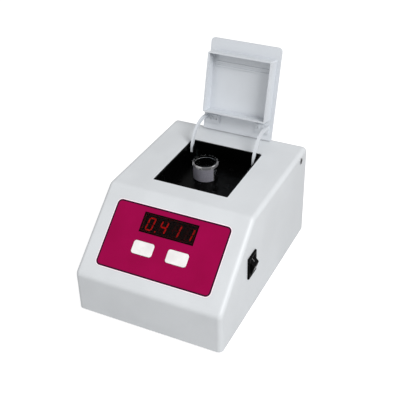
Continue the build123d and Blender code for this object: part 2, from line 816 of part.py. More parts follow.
def make_liner():
    """The black tray under the opening: collar, deck with the cell opening, side flange."""
    collar_height = top - LINER_BELOW_TOP - deck_bottom
    tray = extrude(opening_outline(LINER_CLEARANCE, deck_bottom), amount=collar_height)
    hollow = extrude(opening_outline(LINER_CLEARANCE + LINER_WALL, deck_top), amount=collar_height)
    flange_top = ceiling - LINER_BOSS_HEIGHT
    flange_half = liner_half_width + LINER_FLANGE_WIDTH
    flange = block(
        -flange_half, flange_half, liner_front_y, liner_rear_y - OPENING_REAR_RADIUS,
        flange_top - LINER_FLANGE_THICKNESS, flange_top,
    )
    tray = tray + flange - hollow
    tray = tray - post(CELL_X, CELL_Y, deck_bottom - 1, deck_top + 1, CELL_RADIUS + CELL_CLEARANCE)
    for side in (-1, 1):
        tray = tray - arm_slot(side)
    for x, y in liner_screw_places:
        tray = tray - post(x, y, deck_bottom, flange_top + 1, LINER_SCREW[0] + PASS_CLEARANCE)
    for x, y in holder_screw_places():
        tray = tray - post(x, y, deck_bottom - 1, deck_top + 1, BOARD_SCREW[0] + PASS_CLEARANCE)
    return tray


def make_liner_screws():
    """Screws from below through the liner's flange into the housing's bosses."""
    shank, head, height = LINER_SCREW
    flange_low = ceiling - LINER_BOSS_HEIGHT - LINER_FLANGE_THICKNESS
    return group([
        screw(x, y, flange_low, ceiling, shank, head, height) for x, y in liner_screw_places
    ])


def holder_screw_places():
    """The corners of the cell holder's flange that its screws pass."""
    reach = HOLDER_FLANGE_HALF - STANDOFF_INSET
    return [(CELL_X + i * reach, CELL_Y + j * reach) for i in (-1, 1) for j in (-1, 1)]


def make_holder():
    """The black optical block with the cell's bore and the light path across it."""
    half_x = HOLDER_HALF_X
    half_y = HOLDER_HALF_Y
    body = block(
        CELL_X - half_x, CELL_X + half_x, CELL_Y - half_y, CELL_Y + half_y,
        cell_bottom - HOLDER_FLOOR, deck_bottom,
    )
    flange = tile(
        2 * HOLDER_FLANGE_HALF, 2 * HOLDER_FLANGE_HALF, deck_bottom - HOLDER_FLANGE_THICKNESS, deck_bottom,
        HOLDER_FLANGE_CORNER, x=CELL_X, y=CELL_Y,
    )
    body = body + flange
    body = body - post(CELL_X, CELL_Y, cell_bottom, deck_bottom + 1, CELL_RADIUS + CELL_CLEARANCE)
    body = body - rod_x(CELL_Y, light_z, CELL_X - half_x - 1, CELL_X + half_x + 1, LIGHT_HOLE_RADIUS)
    seat_x = CELL_RADIUS + CELL_CLEARANCE + OPTIC_SEAT
    seat = LENS_RADIUS + SCREW_CLEARANCE
    body = body - rod_x(CELL_Y, light_z, CELL_X - half_x - 1, CELL_X - seat_x, seat)
    body = body - rod_x(CELL_Y, light_z, CELL_X + seat_x, CELL_X + half_x + 1, seat)
    for x, y in holder_screw_places():
        low = deck_bottom - HOLDER_FLANGE_THICKNESS - 1
        body = body - post(x, y, low, deck_bottom + 1, BOARD_SCREW[0] + SCREW_CLEARANCE)
    for side in (-1, 1):
        for y, z in optic_screw_places():
            face = CELL_X + side * half_x
            back = face - side * OPTIC_SCREW_HOLE_DEPTH
            body = body - rod_x(y, z, back, face + side, OPTIC_SCREW[0] + SCREW_CLEARANCE)
    return body


def optic_screw_places():
    """Two screws at opposite corners of each optics board."""
    reach = OPTIC_BOARD_SIZE / 2 - OPTIC_SCREW_INSET
    return [(CELL_Y - reach, light_z - reach), (CELL_Y + reach, light_z + reach)]


def make_holder_screws():
    """Screws from above through the deck into the cell holder's flange."""
    shank, _, _ = BOARD_SCREW
    low = deck_bottom - HOLDER_FLANGE_THICKNESS + 0.5
    return group([
        screw(x, y, deck_top, low, shank, BOARD_SCREW[1], BOARD_SCREW[2]) for x, y in holder_screw_places()
    ])


def make_lens():
    """The plano convex lens beside the lamp."""
    face_x = CELL_X - CELL_RADIUS - CELL_CLEARANCE - OPTIC_SEAT
    rise = LENS_CENTRE_RISE
    sphere_radius = (LENS_RADIUS**2 + rise**2) / (2 * rise)
    barrel = rod_x(CELL_Y, light_z, face_x - LENS_THICKNESS, face_x, LENS_RADIUS)
    ball = Pos(face_x - LENS_THICKNESS + sphere_radius, CELL_Y, light_z) * Sphere(sphere_radius)
    return barrel & ball


def make_filter():
    """The colour filter beside the detector."""
    face_x = CELL_X + CELL_RADIUS + CELL_CLEARANCE + OPTIC_SEAT
    return rod_x(CELL_Y, light_z, face_x, face_x + FILTER_THICKNESS, LENS_RADIUS)


def optic_board(side):
    """A small square board on one face of the cell holder."""
    face = CELL_X + side * HOLDER_HALF_X
    half = OPTIC_BOARD_SIZE / 2
    board = block(
        face, face + side * BOARD_THICKNESS,
        CELL_Y - half, CELL_Y + half, light_z - half, light_z + half,
    )
    for y, z in optic_screw_places():
        board = board - rod_x(y, z, face - side, face + side * 3, OPTIC_SCREW[0] + PASS_CLEARANCE)
    return board


def optic_screws():
    """The screws of both optics boards."""
    shank, head, height = OPTIC_SCREW
    screws = []
    for side in (-1, 1):
        face = CELL_X + side * (HOLDER_HALF_X + BOARD_THICKNESS)
        for y, z in optic_screw_places():
            cap = rod_x(y, z, face, face + side * height, head)
            screws.append(cap + rod_x(y, z, face - side * OPTIC_SCREW_GRIP, face, shank))
    return group(screws)


def make_lamp():
    """The light source: a round nosed lamp that stands on its board."""
    face = CELL_X - HOLDER_HALF_X
    nose = face + LED_LENGTH - LED_RADIUS
    barrel = rod_x(CELL_Y, light_z, face, nose, LED_RADIUS)
    collar = rod_x(CELL_Y, light_z, face, face + 1.0, LED_RADIUS + 0.5)
    return barrel + collar + Pos(nose, CELL_Y, light_z) * Sphere(LED_RADIUS)


def make_detector():
    """The light detector's metal can with its window."""
    face = CELL_X + HOLDER_HALF_X
    can = rod_x(CELL_Y, light_z, face - DIODE_LENGTH, face, DIODE_RADIUS)
    rim = rod_x(CELL_Y, light_z, face - 0.8, face, DIODE_RADIUS + 0.5)
    return can + rim


def make_cell():
    """The round glass sample cell, open at its top, with a lip round its mouth."""
    outer = post(CELL_X, CELL_Y, cell_bottom, cell_rim, CELL_RADIUS)
    outer = fillet(outer.edges().sort_by(Axis.Z)[0], CELL_FOOT_RADIUS)
    outer = outer + post(CELL_X, CELL_Y, cell_rim - CELL_LIP_HEIGHT, cell_rim, CELL_LIP_RADIUS)
    inner = post(CELL_X, CELL_Y, cell_bottom + CELL_FLOOR, cell_rim + 1, CELL_RADIUS - CELL_WALL)
    glass = outer - inner
    rim = glass.edges().filter_by(lambda e: abs(e.center().Z - cell_rim) < 0.01)
    return fillet(rim, CELL_WALL * 0.4)


def make_water():
    """The water sample that stands in the cell."""
    low = cell_bottom + CELL_FLOOR
    return post(CELL_X, CELL_Y, low, cell_rim - WATER_BELOW_RIM, CELL_RADIUS - CELL_WALL)


def make_lid_cover():
    """The lid's flat outer plate, closed."""
    mid_y = (lid_front_y + lid_rear_y) / 2
    outline = Pos(0, mid_y, lid_bottom) * Rectangle(LID_WIDTH, lid_rear_y - lid_front_y)
    outline = fillet(outline.vertices().sort_by(Axis.Y)[0:2], LID_FRONT_RADIUS)
    outline = fillet(outline.vertices().sort_by(Axis.Y)[-2:], LID_REAR_RADIUS)
    plate = extrude(outline, amount=LID_THICKNESS)
    plate = fillet(plate.edges().group_by(Axis.Z)[-1], LID_EDGE_RADIUS)
    for x, y in arm_screw_places():
        plate = plate - post(x, y, lid_bottom - 1, lid_bottom + 2.2, ARM_SCREW[0] + SCREW_CLEARANCE)
    return plate


def make_hood():
    """The frame under the lid that shades the cell, with a thin floor against the plate."""
    front_y = lid_front_y + HOOD_FRONT_FLANGE
    mid_y = front_y + HOOD_LENGTH / 2
    low = lid_bottom - HOOD_DEPTH
    frame = tile(HOOD_WIDTH, HOOD_LENGTH, low, lid_bottom, HOOD_CORNER_RADIUS, y=mid_y)
    hollow_width = HOOD_WIDTH - 2 * HOOD_WALL
    hollow_length = HOOD_LENGTH - 2 * HOOD_WALL
    floor_z = lid_bottom - HOOD_FLOOR
    frame = frame - tile(hollow_width, hollow_length, low - 1, floor_z, HOOD_INNER_RADIUS, y=mid_y)
    rib_end = hollow_width / 2 - HOOD_RIB_INSET
    for along in HOOD_RIB_PLACES:
        y = front_y + HOOD_WALL + along
        rib = block(
            -rib_end, rib_end, y, y + HOOD_RIB_WIDTH, floor_z - HOOD_RIB_HEIGHT, floor_z + HOOD_FLOOR / 3
        )
        frame = frame + rib
    return frame


def arm_screw_places():
    """Two screws through each arm's pad."""
    y = axle_y - ARM_RADIUS - ARM_BAND / 2 + ARM_PAD_LENGTH / 2
    outer = ARM_X + ARM_THICKNESS / 2
    return [
        (side * (outer - ARM_PAD_WIDTH + along), y)
        for side in (-1, 1)
        for along in ARM_SCREWS_ALONG_PAD
    ]


def at_angle(radius, angle):
    """A point round the axle, its angle counted from +Y towards +Z."""
    turn = math.radians(angle)
    return (axle_y + radius * math.cos(turn), axle_z + radius * math.sin(turn))


def make_arm(side):
    """A goose neck arm, closed: pad, drop, arc round the axle, spoke and hub."""
    inner = ARM_RADIUS - ARM_BAND / 2
    outer = ARM_RADIUS + ARM_BAND / 2
    start = ARM_START_ANGLE
    end = start + ARM_TUCK_ANGLE + OPEN_ANGLE
    x0 = side * ARM_X - ARM_THICKNESS / 2
    middle = (start + end) / 2
    band = make_face([
        ThreePointArc(at_angle(outer, start), at_angle(outer, middle), at_angle(outer, end)),
        Line(at_angle(outer, end), at_angle(inner, end)),
        ThreePointArc(at_angle(inner, end), at_angle(inner, middle), at_angle(inner, start)),
        Line(at_angle(inner, start), at_angle(outer, start)),
    ])
    arc = extrude(Plane.YZ.offset(x0) * band, amount=ARM_THICKNESS)
    pad_low = lid_bottom - ARM_PAD_THICKNESS
    front_y = axle_y - outer
    drop = block(x0, x0 + ARM_THICKNESS, front_y, front_y + ARM_BAND, axle_z - 0.2, lid_bottom)
    pad_outer = side * (ARM_X + ARM_THICKNESS / 2)
    pad = block(
        pad_outer, pad_outer - side * ARM_PAD_WIDTH, front_y, front_y + ARM_PAD_LENGTH, pad_low, lid_bottom
    )
    half_turn = math.degrees(math.asin(SPOKE_WIDTH / 2 / ARM_RADIUS))
    bar = Pos(x0 + ARM_THICKNESS / 2, 0, 0) * block(
        -ARM_THICKNESS / 2, ARM_THICKNESS / 2, 0, ARM_RADIUS, -SPOKE_WIDTH / 2, SPOKE_WIDTH / 2
    )
    spoke = Pos(0, axle_y, axle_z) * Rot(end - half_turn, 0, 0) * bar
    hub = rod_x(axle_y, axle_z, side * ARM_X - HUB_LENGTH / 2, side * ARM_X + HUB_LENGTH / 2, HUB_RADIUS)
    arm = arc + drop + pad + spoke + hub
    bore = AXLE_RADIUS + SCREW_CLEARANCE
    arm = arm - rod_x(axle_y, axle_z, side * ARM_X - HUB_LENGTH, side * ARM_X + HUB_LENGTH, bore)
    arm = arm - hinge_pin(side, SCREW_CLEARANCE)
    for x, y in arm_screw_places():
        arm = arm - post(x, y, pad_low - 1, lid_bottom + 1, ARM_SCREW[0] + PASS_CLEARANCE)
    return arm


def pin_x(side):
    """Where along the axle an arm's hub is pinned."""
    return side * (ARM_X + (ARM_THICKNESS + HUB_LENGTH) / 4)


def hinge_pin(side, clearance):
    """A cross pin that fixes an arm's hub to the axle."""
    length = 2 * HUB_RADIUS - 0.4
    radius = HINGE_PIN_RADIUS + clearance
    return post(pin_x(side), axle_y, axle_z - length / 2, axle_z + length / 2, radius)


def make_arm_screws():
    """Screws from below through the arms' pads into the lid plate."""
    shank, head, height = ARM_SCREW
    low = lid_bottom - ARM_PAD_THICKNESS
    return group([
        screw(x, y, low, lid_bottom + ARM_SCREW_GRIP, shank, head, height)
        for x, y in arm_screw_places()
    ])


def clip_x(side):
    """The inner face of a retaining ring, just inside the bush."""
    return side * (half_width - WALL - ARM_STOP_GAP - CLIP_THICKNESS)


def make_axle():
    """The steel axle across the housing, with grooves for its rings and pin holes."""
    end = half_width + BUSH_FLANGE_THICKNESS
    axle = rod_x(axle_y, axle_z, -end, end, AXLE_RADIUS)
    for side in (-1, 1):
        x = clip_x(side)
        ring = rod_x(axle_y, axle_z, x, x + side * CLIP_THICKNESS, AXLE_RADIUS + 1)
        core = rod_x(axle_y, axle_z, x, x + side * CLIP_THICKNESS, AXLE_RADIUS - CLIP_GROOVE_DEPTH)
        axle = axle - (ring - core)
        axle = axle - hinge_pin(side, SCREW_CLEARANCE)
    return axle


def make_bushes():
    """Flanged bushes in the side walls that the axle turns in."""
    bushes = []
    bore = AXLE_RADIUS + RUNNING_CLEARANCE
    for side in (-1, 1):
        barrel = rod_x(axle_y, axle_z, side * (half_width - WALL), side * half_width, bore + BUSH_WALL)
        end = side * (half_width + BUSH_FLANGE_THICKNESS)
        flange = rod_x(axle_y, axle_z, side * half_width, end, BUSH_FLANGE_RADIUS)
        hole = rod_x(axle_y, axle_z, side * (half_width - 2 * WALL), side * (half_width + WALL), bore)
        bushes.append(barrel + flange - hole)
    return group(bushes)


def make_clips():
    """Open retaining rings in the axle's grooves."""
    rings = []
    for side in (-1, 1):
        x = clip_x(side)
        ring = rod_x(axle_y, axle_z, x + side * 0.05, x + side * (CLIP_THICKNESS - 0.05), CLIP_RADIUS)
        bore = AXLE_RADIUS - CLIP_GROOVE_DEPTH + SCREW_CLEARANCE
        ring = ring - rod_x(axle_y, axle_z, x - side, x + side * 2, bore)
        mouth = block(x - 1, x + 1, axle_y - bore, axle_y + bore, axle_z, axle_z + 2 * CLIP_RADIUS)
        rings.append(ring - mouth)
    return group(rings)


def opened(shape):
    """Turns a closed lid piece up and back about the axle."""
    return Pos(0, axle_y, axle_z) * Rot(-OPEN_ANGLE, 0, 0) * Pos(0, -axle_y, -axle_z) * shape


def rocker_pocket_half():
    """Half the height of the well that the rocker tilts in."""
    return math.hypot(ROCKER_HALF_HEIGHT, ROCKER_END_RISE + ROCKER_PIVOT_DEPTH) + ROCKER_GAP


def make_switch_case():
    """The switch's case behind the wall and its bezel outside it, with the rocker's well."""
    y = ROCKER_SWITCH_Y
    case = block(
        half_width - SWITCH_CASE_DEPTH, half_width + BEZEL_THICKNESS / 2,
        y - SWITCH_CASE_WIDTH / 2, y + SWITCH_CASE_WIDTH / 2,
        switch_z - SWITCH_CASE_HEIGHT / 2, switch_z + SWITCH_CASE_HEIGHT / 2,
    )
    bezel = block(
        half_width, half_width + BEZEL_THICKNESS,
        y - BEZEL_WIDTH / 2, y + BEZEL_WIDTH / 2, switch_z - BEZEL_HEIGHT / 2, switch_z + BEZEL_HEIGHT / 2,
    )
    bezel = fillet(bezel.edges().group_by(Axis.X)[-1], BEZEL_THICKNESS * 0.4)
    well_half_y = ROCKER_WIDTH / 2 + ROCKER_GAP
    well_half_z = rocker_pocket_half()
    well_depth = ROCKER_PIVOT_DEPTH + math.hypot(ROCKER_HALF_HEIGHT, ROCKER_DEPTH) + ROCKER_GAP
    well = block(
        half_width - well_depth, half_width + 2 * BEZEL_THICKNESS,
        y - well_half_y, y + well_half_y, switch_z - well_half_z, switch_z + well_half_z,
    )
    reach = ROCKER_WIDTH / 2 + TRUNNION_LENGTH + ROCKER_GAP
    pivot_radius = TRUNNION_RADIUS + RUNNING_CLEARANCE
    pivot = rod_y(half_width - ROCKER_PIVOT_DEPTH, switch_z, y - reach, y + reach, pivot_radius)
    return case + bezel - well - pivot


def make_rocker():
    """The rocker, its upper half pressed in, with a trunnion on each side."""
    pivot_x = half_width - ROCKER_PIVOT_DEPTH
    ridge = ROCKER_RIDGE_RISE + ROCKER_PIVOT_DEPTH
    end = ROCKER_END_RISE + ROCKER_PIVOT_DEPTH
    tail = ROCKER_HALF_HEIGHT * ROCKER_TAIL_SHARE
    waist = ROCKER_HALF_HEIGHT - ROCKER_END_TAPER
    outline = Polygon(
        (ridge, 0), (end, ROCKER_HALF_HEIGHT), (0, waist), (-ROCKER_DEPTH, tail),
        (-ROCKER_DEPTH, -tail), (0, -waist), (end, -ROCKER_HALF_HEIGHT),
        align=None,
    )
    peak = [v for v in outline.vertices() if v.X > end + 0.1]
    outline = fillet(peak, ROCKER_RIDGE_RADIUS)
    body = extrude(Plane.XZ * outline, amount=ROCKER_WIDTH / 2, both=True)
    reach = ROCKER_WIDTH / 2 + TRUNNION_LENGTH
    body = body + rod_y(0, 0, -reach, reach, TRUNNION_RADIUS)
    return Pos(pivot_x, ROCKER_SWITCH_Y, switch_z) * Rot(0, -ROCKER_TILT, 0) * body


def make_terminals():
    """The switch's two blade terminals."""
    back = half_width - SWITCH_CASE_DEPTH
    half = BLADE_WIDTH / 2
    blades = []
    for side in (-1, 1):
        z = switch_z + side * BLADE_OFFSET - BLADE_THICKNESS / 2
        blades.append(block(
            back - BLADE_LENGTH, back, ROCKER_SWITCH_Y - half, ROCKER_SWITCH_Y + half, z, z + BLADE_THICKNESS
        ))
    return group(blades)


def make_inlet():
    """The round power inlet through the rear wall."""
    rear = HOUSING_DEPTH
    barrel_end = rear + INLET_FLANGE_THICKNESS / 2
    barrel = rod_y(INLET_X, inlet_z, rear - INLET_LENGTH, barrel_end, INLET_BARREL_RADIUS)
    flange = rod_y(INLET_X, inlet_z, rear, rear + INLET_FLANGE_THICKNESS, INLET_FLANGE_RADIUS)
    flange = fillet(flange.edges().sort_by(Axis.Y)[-1], 0.5)
    mouth = rear + INLET_FLANGE_THICKNESS
    socket = rod_y(INLET_X, inlet_z, mouth - INLET_SOCKET_DEPTH, mouth + 1, INLET_SOCKET_RADIUS)
    return barrel + flange - socket


def make_inlet_pin():
    """The inlet's centre contact."""
    mouth = HOUSING_DEPTH + INLET_FLANGE_THICKNESS
    tip = mouth - INLET_PIN_SET_BACK
    return rod_y(INLET_X, inlet_z, mouth - INLET_SOCKET_DEPTH, tip, INLET_PIN_RADIUS)


def make_inlet_nut():
    """The hexagonal nut that clamps the inlet from inside."""
    face = HOUSING_DEPTH - WALL
    outline = Plane.XZ.offset(-face) * Pos(INLET_X, inlet_z) * RegularPolygon(INLET_NUT_RADIUS, 6)
    nut = extrude(outline, amount=INLET_NUT_THICKNESS)
    bore = INLET_BARREL_RADIUS + SCREW_CLEARANCE
    return nut - rod_y(INLET_X, inlet_z, face - 2 * INLET_NUT_THICKNESS, face + 1, bore)


def make_inlet_tags():
    """The inlet's two solder tags."""
    back = HOUSING_DEPTH - INLET_LENGTH
    tags = []
    for side in (-1, 1):
        x = INLET_X + side * TAG_OFFSET - TAG_WIDTH / 2
        z = inlet_z - TAG_THICKNESS / 2
        tags.append(block(x, x + TAG_WIDTH, back - TAG_LENGTH, back, z, z + TAG_THICKNESS))
    return group(tags)


def make_main_board():
    """The main board on the base plate's standoffs."""
    board = tile(
        MAIN_BOARD_WIDTH, MAIN_BOARD_LENGTH, main_board_z, main_board_top, BOARD_CORNER,
        x=MAIN_BOARD_X, y=MAIN_BOARD_Y,
    )
    hole = BOARD_SCREW[0] + PASS_CLEARANCE
    for x, y in main_screw_places:
        board = board - post(x, y, main_board_z - 1, main_board_top + 1, hole)
    return board


def make_main_screws():
    """Screws that hold the main board."""
    shank, head, height = BOARD_SCREW
    return group([
        screw(x, y, main_board_top, main_board_z - BOARD_SCREW_GRIP, shank, head, height)
        for x, y in main_screw_places
    ])


def on_main(x, y, width, length, height):
    """A box shaped component on the main board, placed from the board's centre."""
    return block(
        MAIN_BOARD_X + x - width / 2, MAIN_BOARD_X + x + width / 2,
        MAIN_BOARD_Y + y - length / 2, MAIN_BOARD_Y + y + length / 2,
        main_board_top, main_board_top + height,
    )


def make_main_chips():
    """Processor, converter, memory and regulator packages."""
    return group([on_main(*size) for size in MAIN_CHIPS])


def make_capacitors():
    """Two upright capacitors by the regulator."""
    x = MAIN_BOARD_X + MAIN_BOARD_WIDTH / 2 - CAPACITOR_EDGE_INSET
    high = main_board_top + CAPACITOR_HEIGHT
    return group([
        post(x, MAIN_BOARD_Y + along, main_board_top, high, CAPACITOR_RADIUS)
        for along in CAPACITOR_ROW
    ])


def make_plugs():
    """The small lead plugs on the main board."""
    return group([
        on_main(x, y, PLUG_SIZE, PLUG_SIZE, PLUG_SIZE) for x, y in (LAMP_PLUG, DETECTOR_PLUG, POWER_PLUG)
    ])


def lead(points):
    """A round lead along straight runs joined by arcs."""
    path = FilletPolyline(*points, radius=LEAD_BEND)
    section = Plane(origin=path @ 0, z_dir=path % 0) * Circle(LEAD_RADIUS)
    return sweep(section, path=path)


def plug_top(plug):
    """The middle of a plug's top face."""
    x, y = plug
    return (MAIN_BOARD_X + x, MAIN_BOARD_Y + y, main_board_top + PLUG_SIZE)


def optics_lead(side, plug):
    """A lead from an optics board down to its plug."""
    x, y, z = plug_top(plug)
    start_x = CELL_X + side * (HOLDER_HALF_X + BOARD_THICKNESS)
    out_x = start_x + side * LEAD_RUN_OUT
    return lead([
        (start_x, CELL_Y, light_z), (out_x, CELL_Y, light_z), (x, y, z + LEAD_RISE), (x, y, z)
    ])


def make_power_leads():
    """Leads from the inlet to the switch, the switch to the board and the inlet to the board."""
    tag_y = HOUSING_DEPTH - INLET_LENGTH - TAG_LENGTH
    near_y = tag_y - LEAD_RUN_OUT
    blade_x = half_width - SWITCH_CASE_DEPTH - BLADE_LENGTH
    turn_x = blade_x - LEAD_RUN_OUT
    low_blade = switch_z - BLADE_OFFSET
    high_blade = switch_z + BLADE_OFFSET
    live_x = INLET_X + TAG_OFFSET
    return_x = INLET_X - TAG_OFFSET
    x, y, z = plug_top(POWER_PLUG)
    to_switch = lead([
        (live_x, tag_y, inlet_z),
        (live_x, near_y, inlet_z),
        (turn_x, ROCKER_SWITCH_Y + LEAD_SWITCH_APPROACH, low_blade),
        (turn_x, ROCKER_SWITCH_Y, low_blade),
        (blade_x, ROCKER_SWITCH_Y, low_blade),
    ])
    from_switch = lead([
        (blade_x, ROCKER_SWITCH_Y, high_blade),
        (turn_x, ROCKER_SWITCH_Y, high_blade),
        (x - LEAD_SPACING / 2, y, z + LEAD_RISE),
        (x - LEAD_SPACING / 2, y, z),
    ])
    to_board = lead([
        (return_x, tag_y, inlet_z),
        (return_x, near_y, inlet_z),
        (x + LEAD_SPACING / 2, y, z + LEAD_RISE),
        (x + LEAD_SPACING / 2, y, z),
    ])
    return group([to_switch, from_switch, to_board])


parts["upper_housing"] = make_upper_housing()
parts["base_plate"] = make_base_plate()
parts["base_screws"] = make_base_screws()
parts["rubber_feet"] = make_feet()
parts["keypad_overlay"] = make_overlay()
parts["display_window"] = make_window()
parts["display_module"] = make_display_module()
parts["lit_segments"] = group([on_slope(s) for s in segment_solids(True)])
parts["unlit_segments"] = group([on_slope(s) for s in segment_solids(False)])
parts["display_board"] = make_display_board()
parts["display_board_screws"] = make_display_screws()
parts["display_chips"] = make_display_chips()
parts["ribbon_headers"] = make_ribbon_headers()
parts["ribbon_cable"] = make_ribbon()
parts["calibrate_key"] = make_key(-1)
parts["zero_key"] = make_key(1)
parts["calibrate_plunger"] = make_plunger(-1)
parts["zero_plunger"] = make_plunger(1)
parts["key_switches"] = make_key_switches()
parts["main_board"] = make_main_board()
parts["main_board_screws"] = make_main_screws()
parts["main_board_chips"] = make_main_chips()
parts["main_board_capacitors"] = make_capacitors()
parts["lead_plugs"] = make_plugs()
parts["chamber_liner"] = make_liner()
parts["liner_screws"] = make_liner_screws()
parts["cell_holder"] = make_holder()
parts["cell_holder_screws"] = make_holder_screws()
parts["lamp"] = make_lamp()
parts["lamp_board"] = optic_board(-1)
parts["lens"] = make_lens()
parts["colour_filter"] = make_filter()
parts["detector"] = make_detector()
parts["detector_board"] = optic_board(1)
parts["optics_screws"] = optic_screws()
parts["lamp_lead"] = optics_lead(-1, LAMP_PLUG)
parts["detector_lead"] = optics_lead(1, DETECTOR_PLUG)
parts["sample_cell"] = make_cell()
parts["water_sample"] = make_water()
parts["lid_cover"] = opened(make_lid_cover())
parts["lid_hood"] = opened(make_hood())
parts["hinge_arm_left"] = opened(make_arm(-1))
parts["hinge_arm_right"] = opened(make_arm(1))
parts["arm_screws"] = opened(make_arm_screws())
parts["hinge_axle"] = opened(make_axle())
parts["hinge_pins"] = opened(group([hinge_pin(side, 0) for side in (-1, 1)]))
parts["axle_rings"] = opened(make_clips())
parts["hinge_bushes"] = make_bushes()
parts["switch_case"] = make_switch_case()
parts["switch_rocker"] = make_rocker()
parts["switch_terminals"] = make_terminals()
parts["power_inlet"] = make_inlet()
parts["inlet_pin"] = make_inlet_pin()
parts["inlet_nut"] = make_inlet_nut()
parts["inlet_tags"] = make_inlet_tags()
parts["power_leads"] = make_power_leads()

# The origin goes under the middle of the open analyzer
boxes = [shape.bounding_box() for shape in parts.values()]
left = min(box.min.X for box in boxes)
right = max(box.max.X for box in boxes)
front = min(box.min.Y for box in boxes)
back = max(box.max.Y for box in boxes)
shift_x = -(left + right) / 2
shift_y = -(front + back) / 2
os.makedirs("parts", exist_ok=True)
for name, shape in parts.items():
    export_step(Pos(shift_x, shift_y, 0) * shape, f"parts/{name}.step")
print("nodes", len(parts), "shift in x, y", round(shift_x, 4), round(shift_y, 4))
print("lid axle at y, z", round(axle_y + shift_y, 4), round(axle_z, 4))
pivot_x = half_width - ROCKER_PIVOT_DEPTH + shift_x
pivot_y = ROCKER_SWITCH_Y + shift_y
print("switch pivot at x, y, z", round(pivot_x, 4), round(pivot_y, 4), round(switch_z, 4))
print("slope angle", round(slope_angle, 4))
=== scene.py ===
# %% [markdown]
# # A bench water quality analyzer
# The analyzer is a pale moulded housing with a sloping key panel, a rocker switch on its
# right side and a black chamber under a hinged lid. A glass cell of sample water stands in
# the chamber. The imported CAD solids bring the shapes, and this script gives them their
# surfaces. Loading them first fixes the frame: metres, +Z up, and the feet on z = 0.

# %% Load the frame
import json
import math

import bmesh
import bpy
import numpy as np
from mathutils import Matrix, Vector


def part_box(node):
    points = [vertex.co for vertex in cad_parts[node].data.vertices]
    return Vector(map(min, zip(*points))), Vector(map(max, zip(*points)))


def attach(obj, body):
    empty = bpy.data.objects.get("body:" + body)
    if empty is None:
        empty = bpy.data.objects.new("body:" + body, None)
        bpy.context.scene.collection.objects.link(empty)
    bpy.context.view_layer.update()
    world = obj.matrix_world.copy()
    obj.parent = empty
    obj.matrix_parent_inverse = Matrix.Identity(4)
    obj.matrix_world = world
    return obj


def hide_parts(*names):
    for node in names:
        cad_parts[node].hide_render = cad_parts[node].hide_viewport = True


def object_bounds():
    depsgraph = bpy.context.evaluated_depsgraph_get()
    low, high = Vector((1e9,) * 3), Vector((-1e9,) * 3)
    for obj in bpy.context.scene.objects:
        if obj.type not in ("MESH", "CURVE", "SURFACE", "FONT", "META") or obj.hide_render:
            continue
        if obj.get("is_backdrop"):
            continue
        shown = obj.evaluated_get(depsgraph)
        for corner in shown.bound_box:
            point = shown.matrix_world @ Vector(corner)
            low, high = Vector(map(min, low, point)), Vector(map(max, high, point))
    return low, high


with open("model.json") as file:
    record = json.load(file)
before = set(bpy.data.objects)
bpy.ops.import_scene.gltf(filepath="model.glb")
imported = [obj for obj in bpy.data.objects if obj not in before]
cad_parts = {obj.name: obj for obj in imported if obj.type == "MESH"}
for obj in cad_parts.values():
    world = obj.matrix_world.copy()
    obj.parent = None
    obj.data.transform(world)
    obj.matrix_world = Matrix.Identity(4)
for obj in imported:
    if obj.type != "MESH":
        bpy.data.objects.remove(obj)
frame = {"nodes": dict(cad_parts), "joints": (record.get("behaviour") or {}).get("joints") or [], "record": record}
cad_box = [list(corner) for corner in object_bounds()]

# %% [markdown]
# Most places can be read from the solids instead of typed again, so that a change in the
# CAD carries over. The housing's box gives its middle plane, its front face and its top.
# A box doesn't show where the slope starts and ends, so those two sizes are repeated here.
# The frame says where the hinges are.
# The panel lies on the slope, so it gets directions of its own: across, and up the slope.

# %% Places read from the solids
MM = 0.001
FRONT_FACE_HEIGHT = 42.0 * MM
SLOPE_DEPTH = 72.0 * MM
ACROSS = Vector((1, 0, 0))

housing_low, housing_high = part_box("upper_housing")
middle_x = (housing_low.x + housing_high.x) / 2
front_y = housing_low.y
top_z = housing_high.z
hinges = {j["name"]: Vector(j["pos_m"]) for j in frame["joints"] if j["type"] == "hinge"}
slope_rise = top_z - housing_low.z - FRONT_FACE_HEIGHT
slope_angle = math.atan2(slope_rise, SLOPE_DEPTH)
slope_origin = Vector((middle_x, front_y, housing_low.z + FRONT_FACE_HEIGHT))
up_slope = Vector((0, math.cos(slope_angle), math.sin(slope_angle)))
print("slope angle in degrees", round(math.degrees(slope_angle), 2))

# %% [markdown]
# The camera stands where the photographer stood: in front, to the right and above. Its
# place was solved from the edges of the housing in the photograph. A matrix built from the
# viewing direction holds the small roll of the picture too, which Track To would lose.

# %% Camera
CAMERA_PLACE = Vector((0.28571, -0.57467, 0.50664))
CAMERA_AIM = Vector((-0.02174, 0.03823, 0.0465))
CAMERA_ROLL = math.radians(-1.412)
FOCAL_PIXELS = 790.17
PICTURE_PIXELS = 400
SENSOR_MM = 36.0


def add_object(name, data):
    """Adds an object to the scene."""
    added = bpy.data.objects.new(name, data)
    bpy.context.scene.collection.objects.link(added)
    return added


camera_data = bpy.data.cameras.new("camera")
camera_data.sensor_width = SENSOR_MM
camera_data.lens = FOCAL_PIXELS / PICTURE_PIXELS * SENSOR_MM
camera = add_object("camera", camera_data)
ahead = (CAMERA_AIM - CAMERA_PLACE).normalized()
right = ahead.cross(Vector((0, 0, 1))).normalized()
up = right.cross(ahead)
rolled_right = right * math.cos(CAMERA_ROLL) + up * math.sin(CAMERA_ROLL)
rolled_up = up * math.cos(CAMERA_ROLL) - right * math.sin(CAMERA_ROLL)
turn = Matrix((rolled_right, rolled_up, -ahead)).transposed().to_4x4()
camera.matrix_world = Matrix.Translation(CAMERA_PLACE) @ turn
bpy.context.scene.camera = camera
print("lens in mm", round(camera_data.lens, 2))

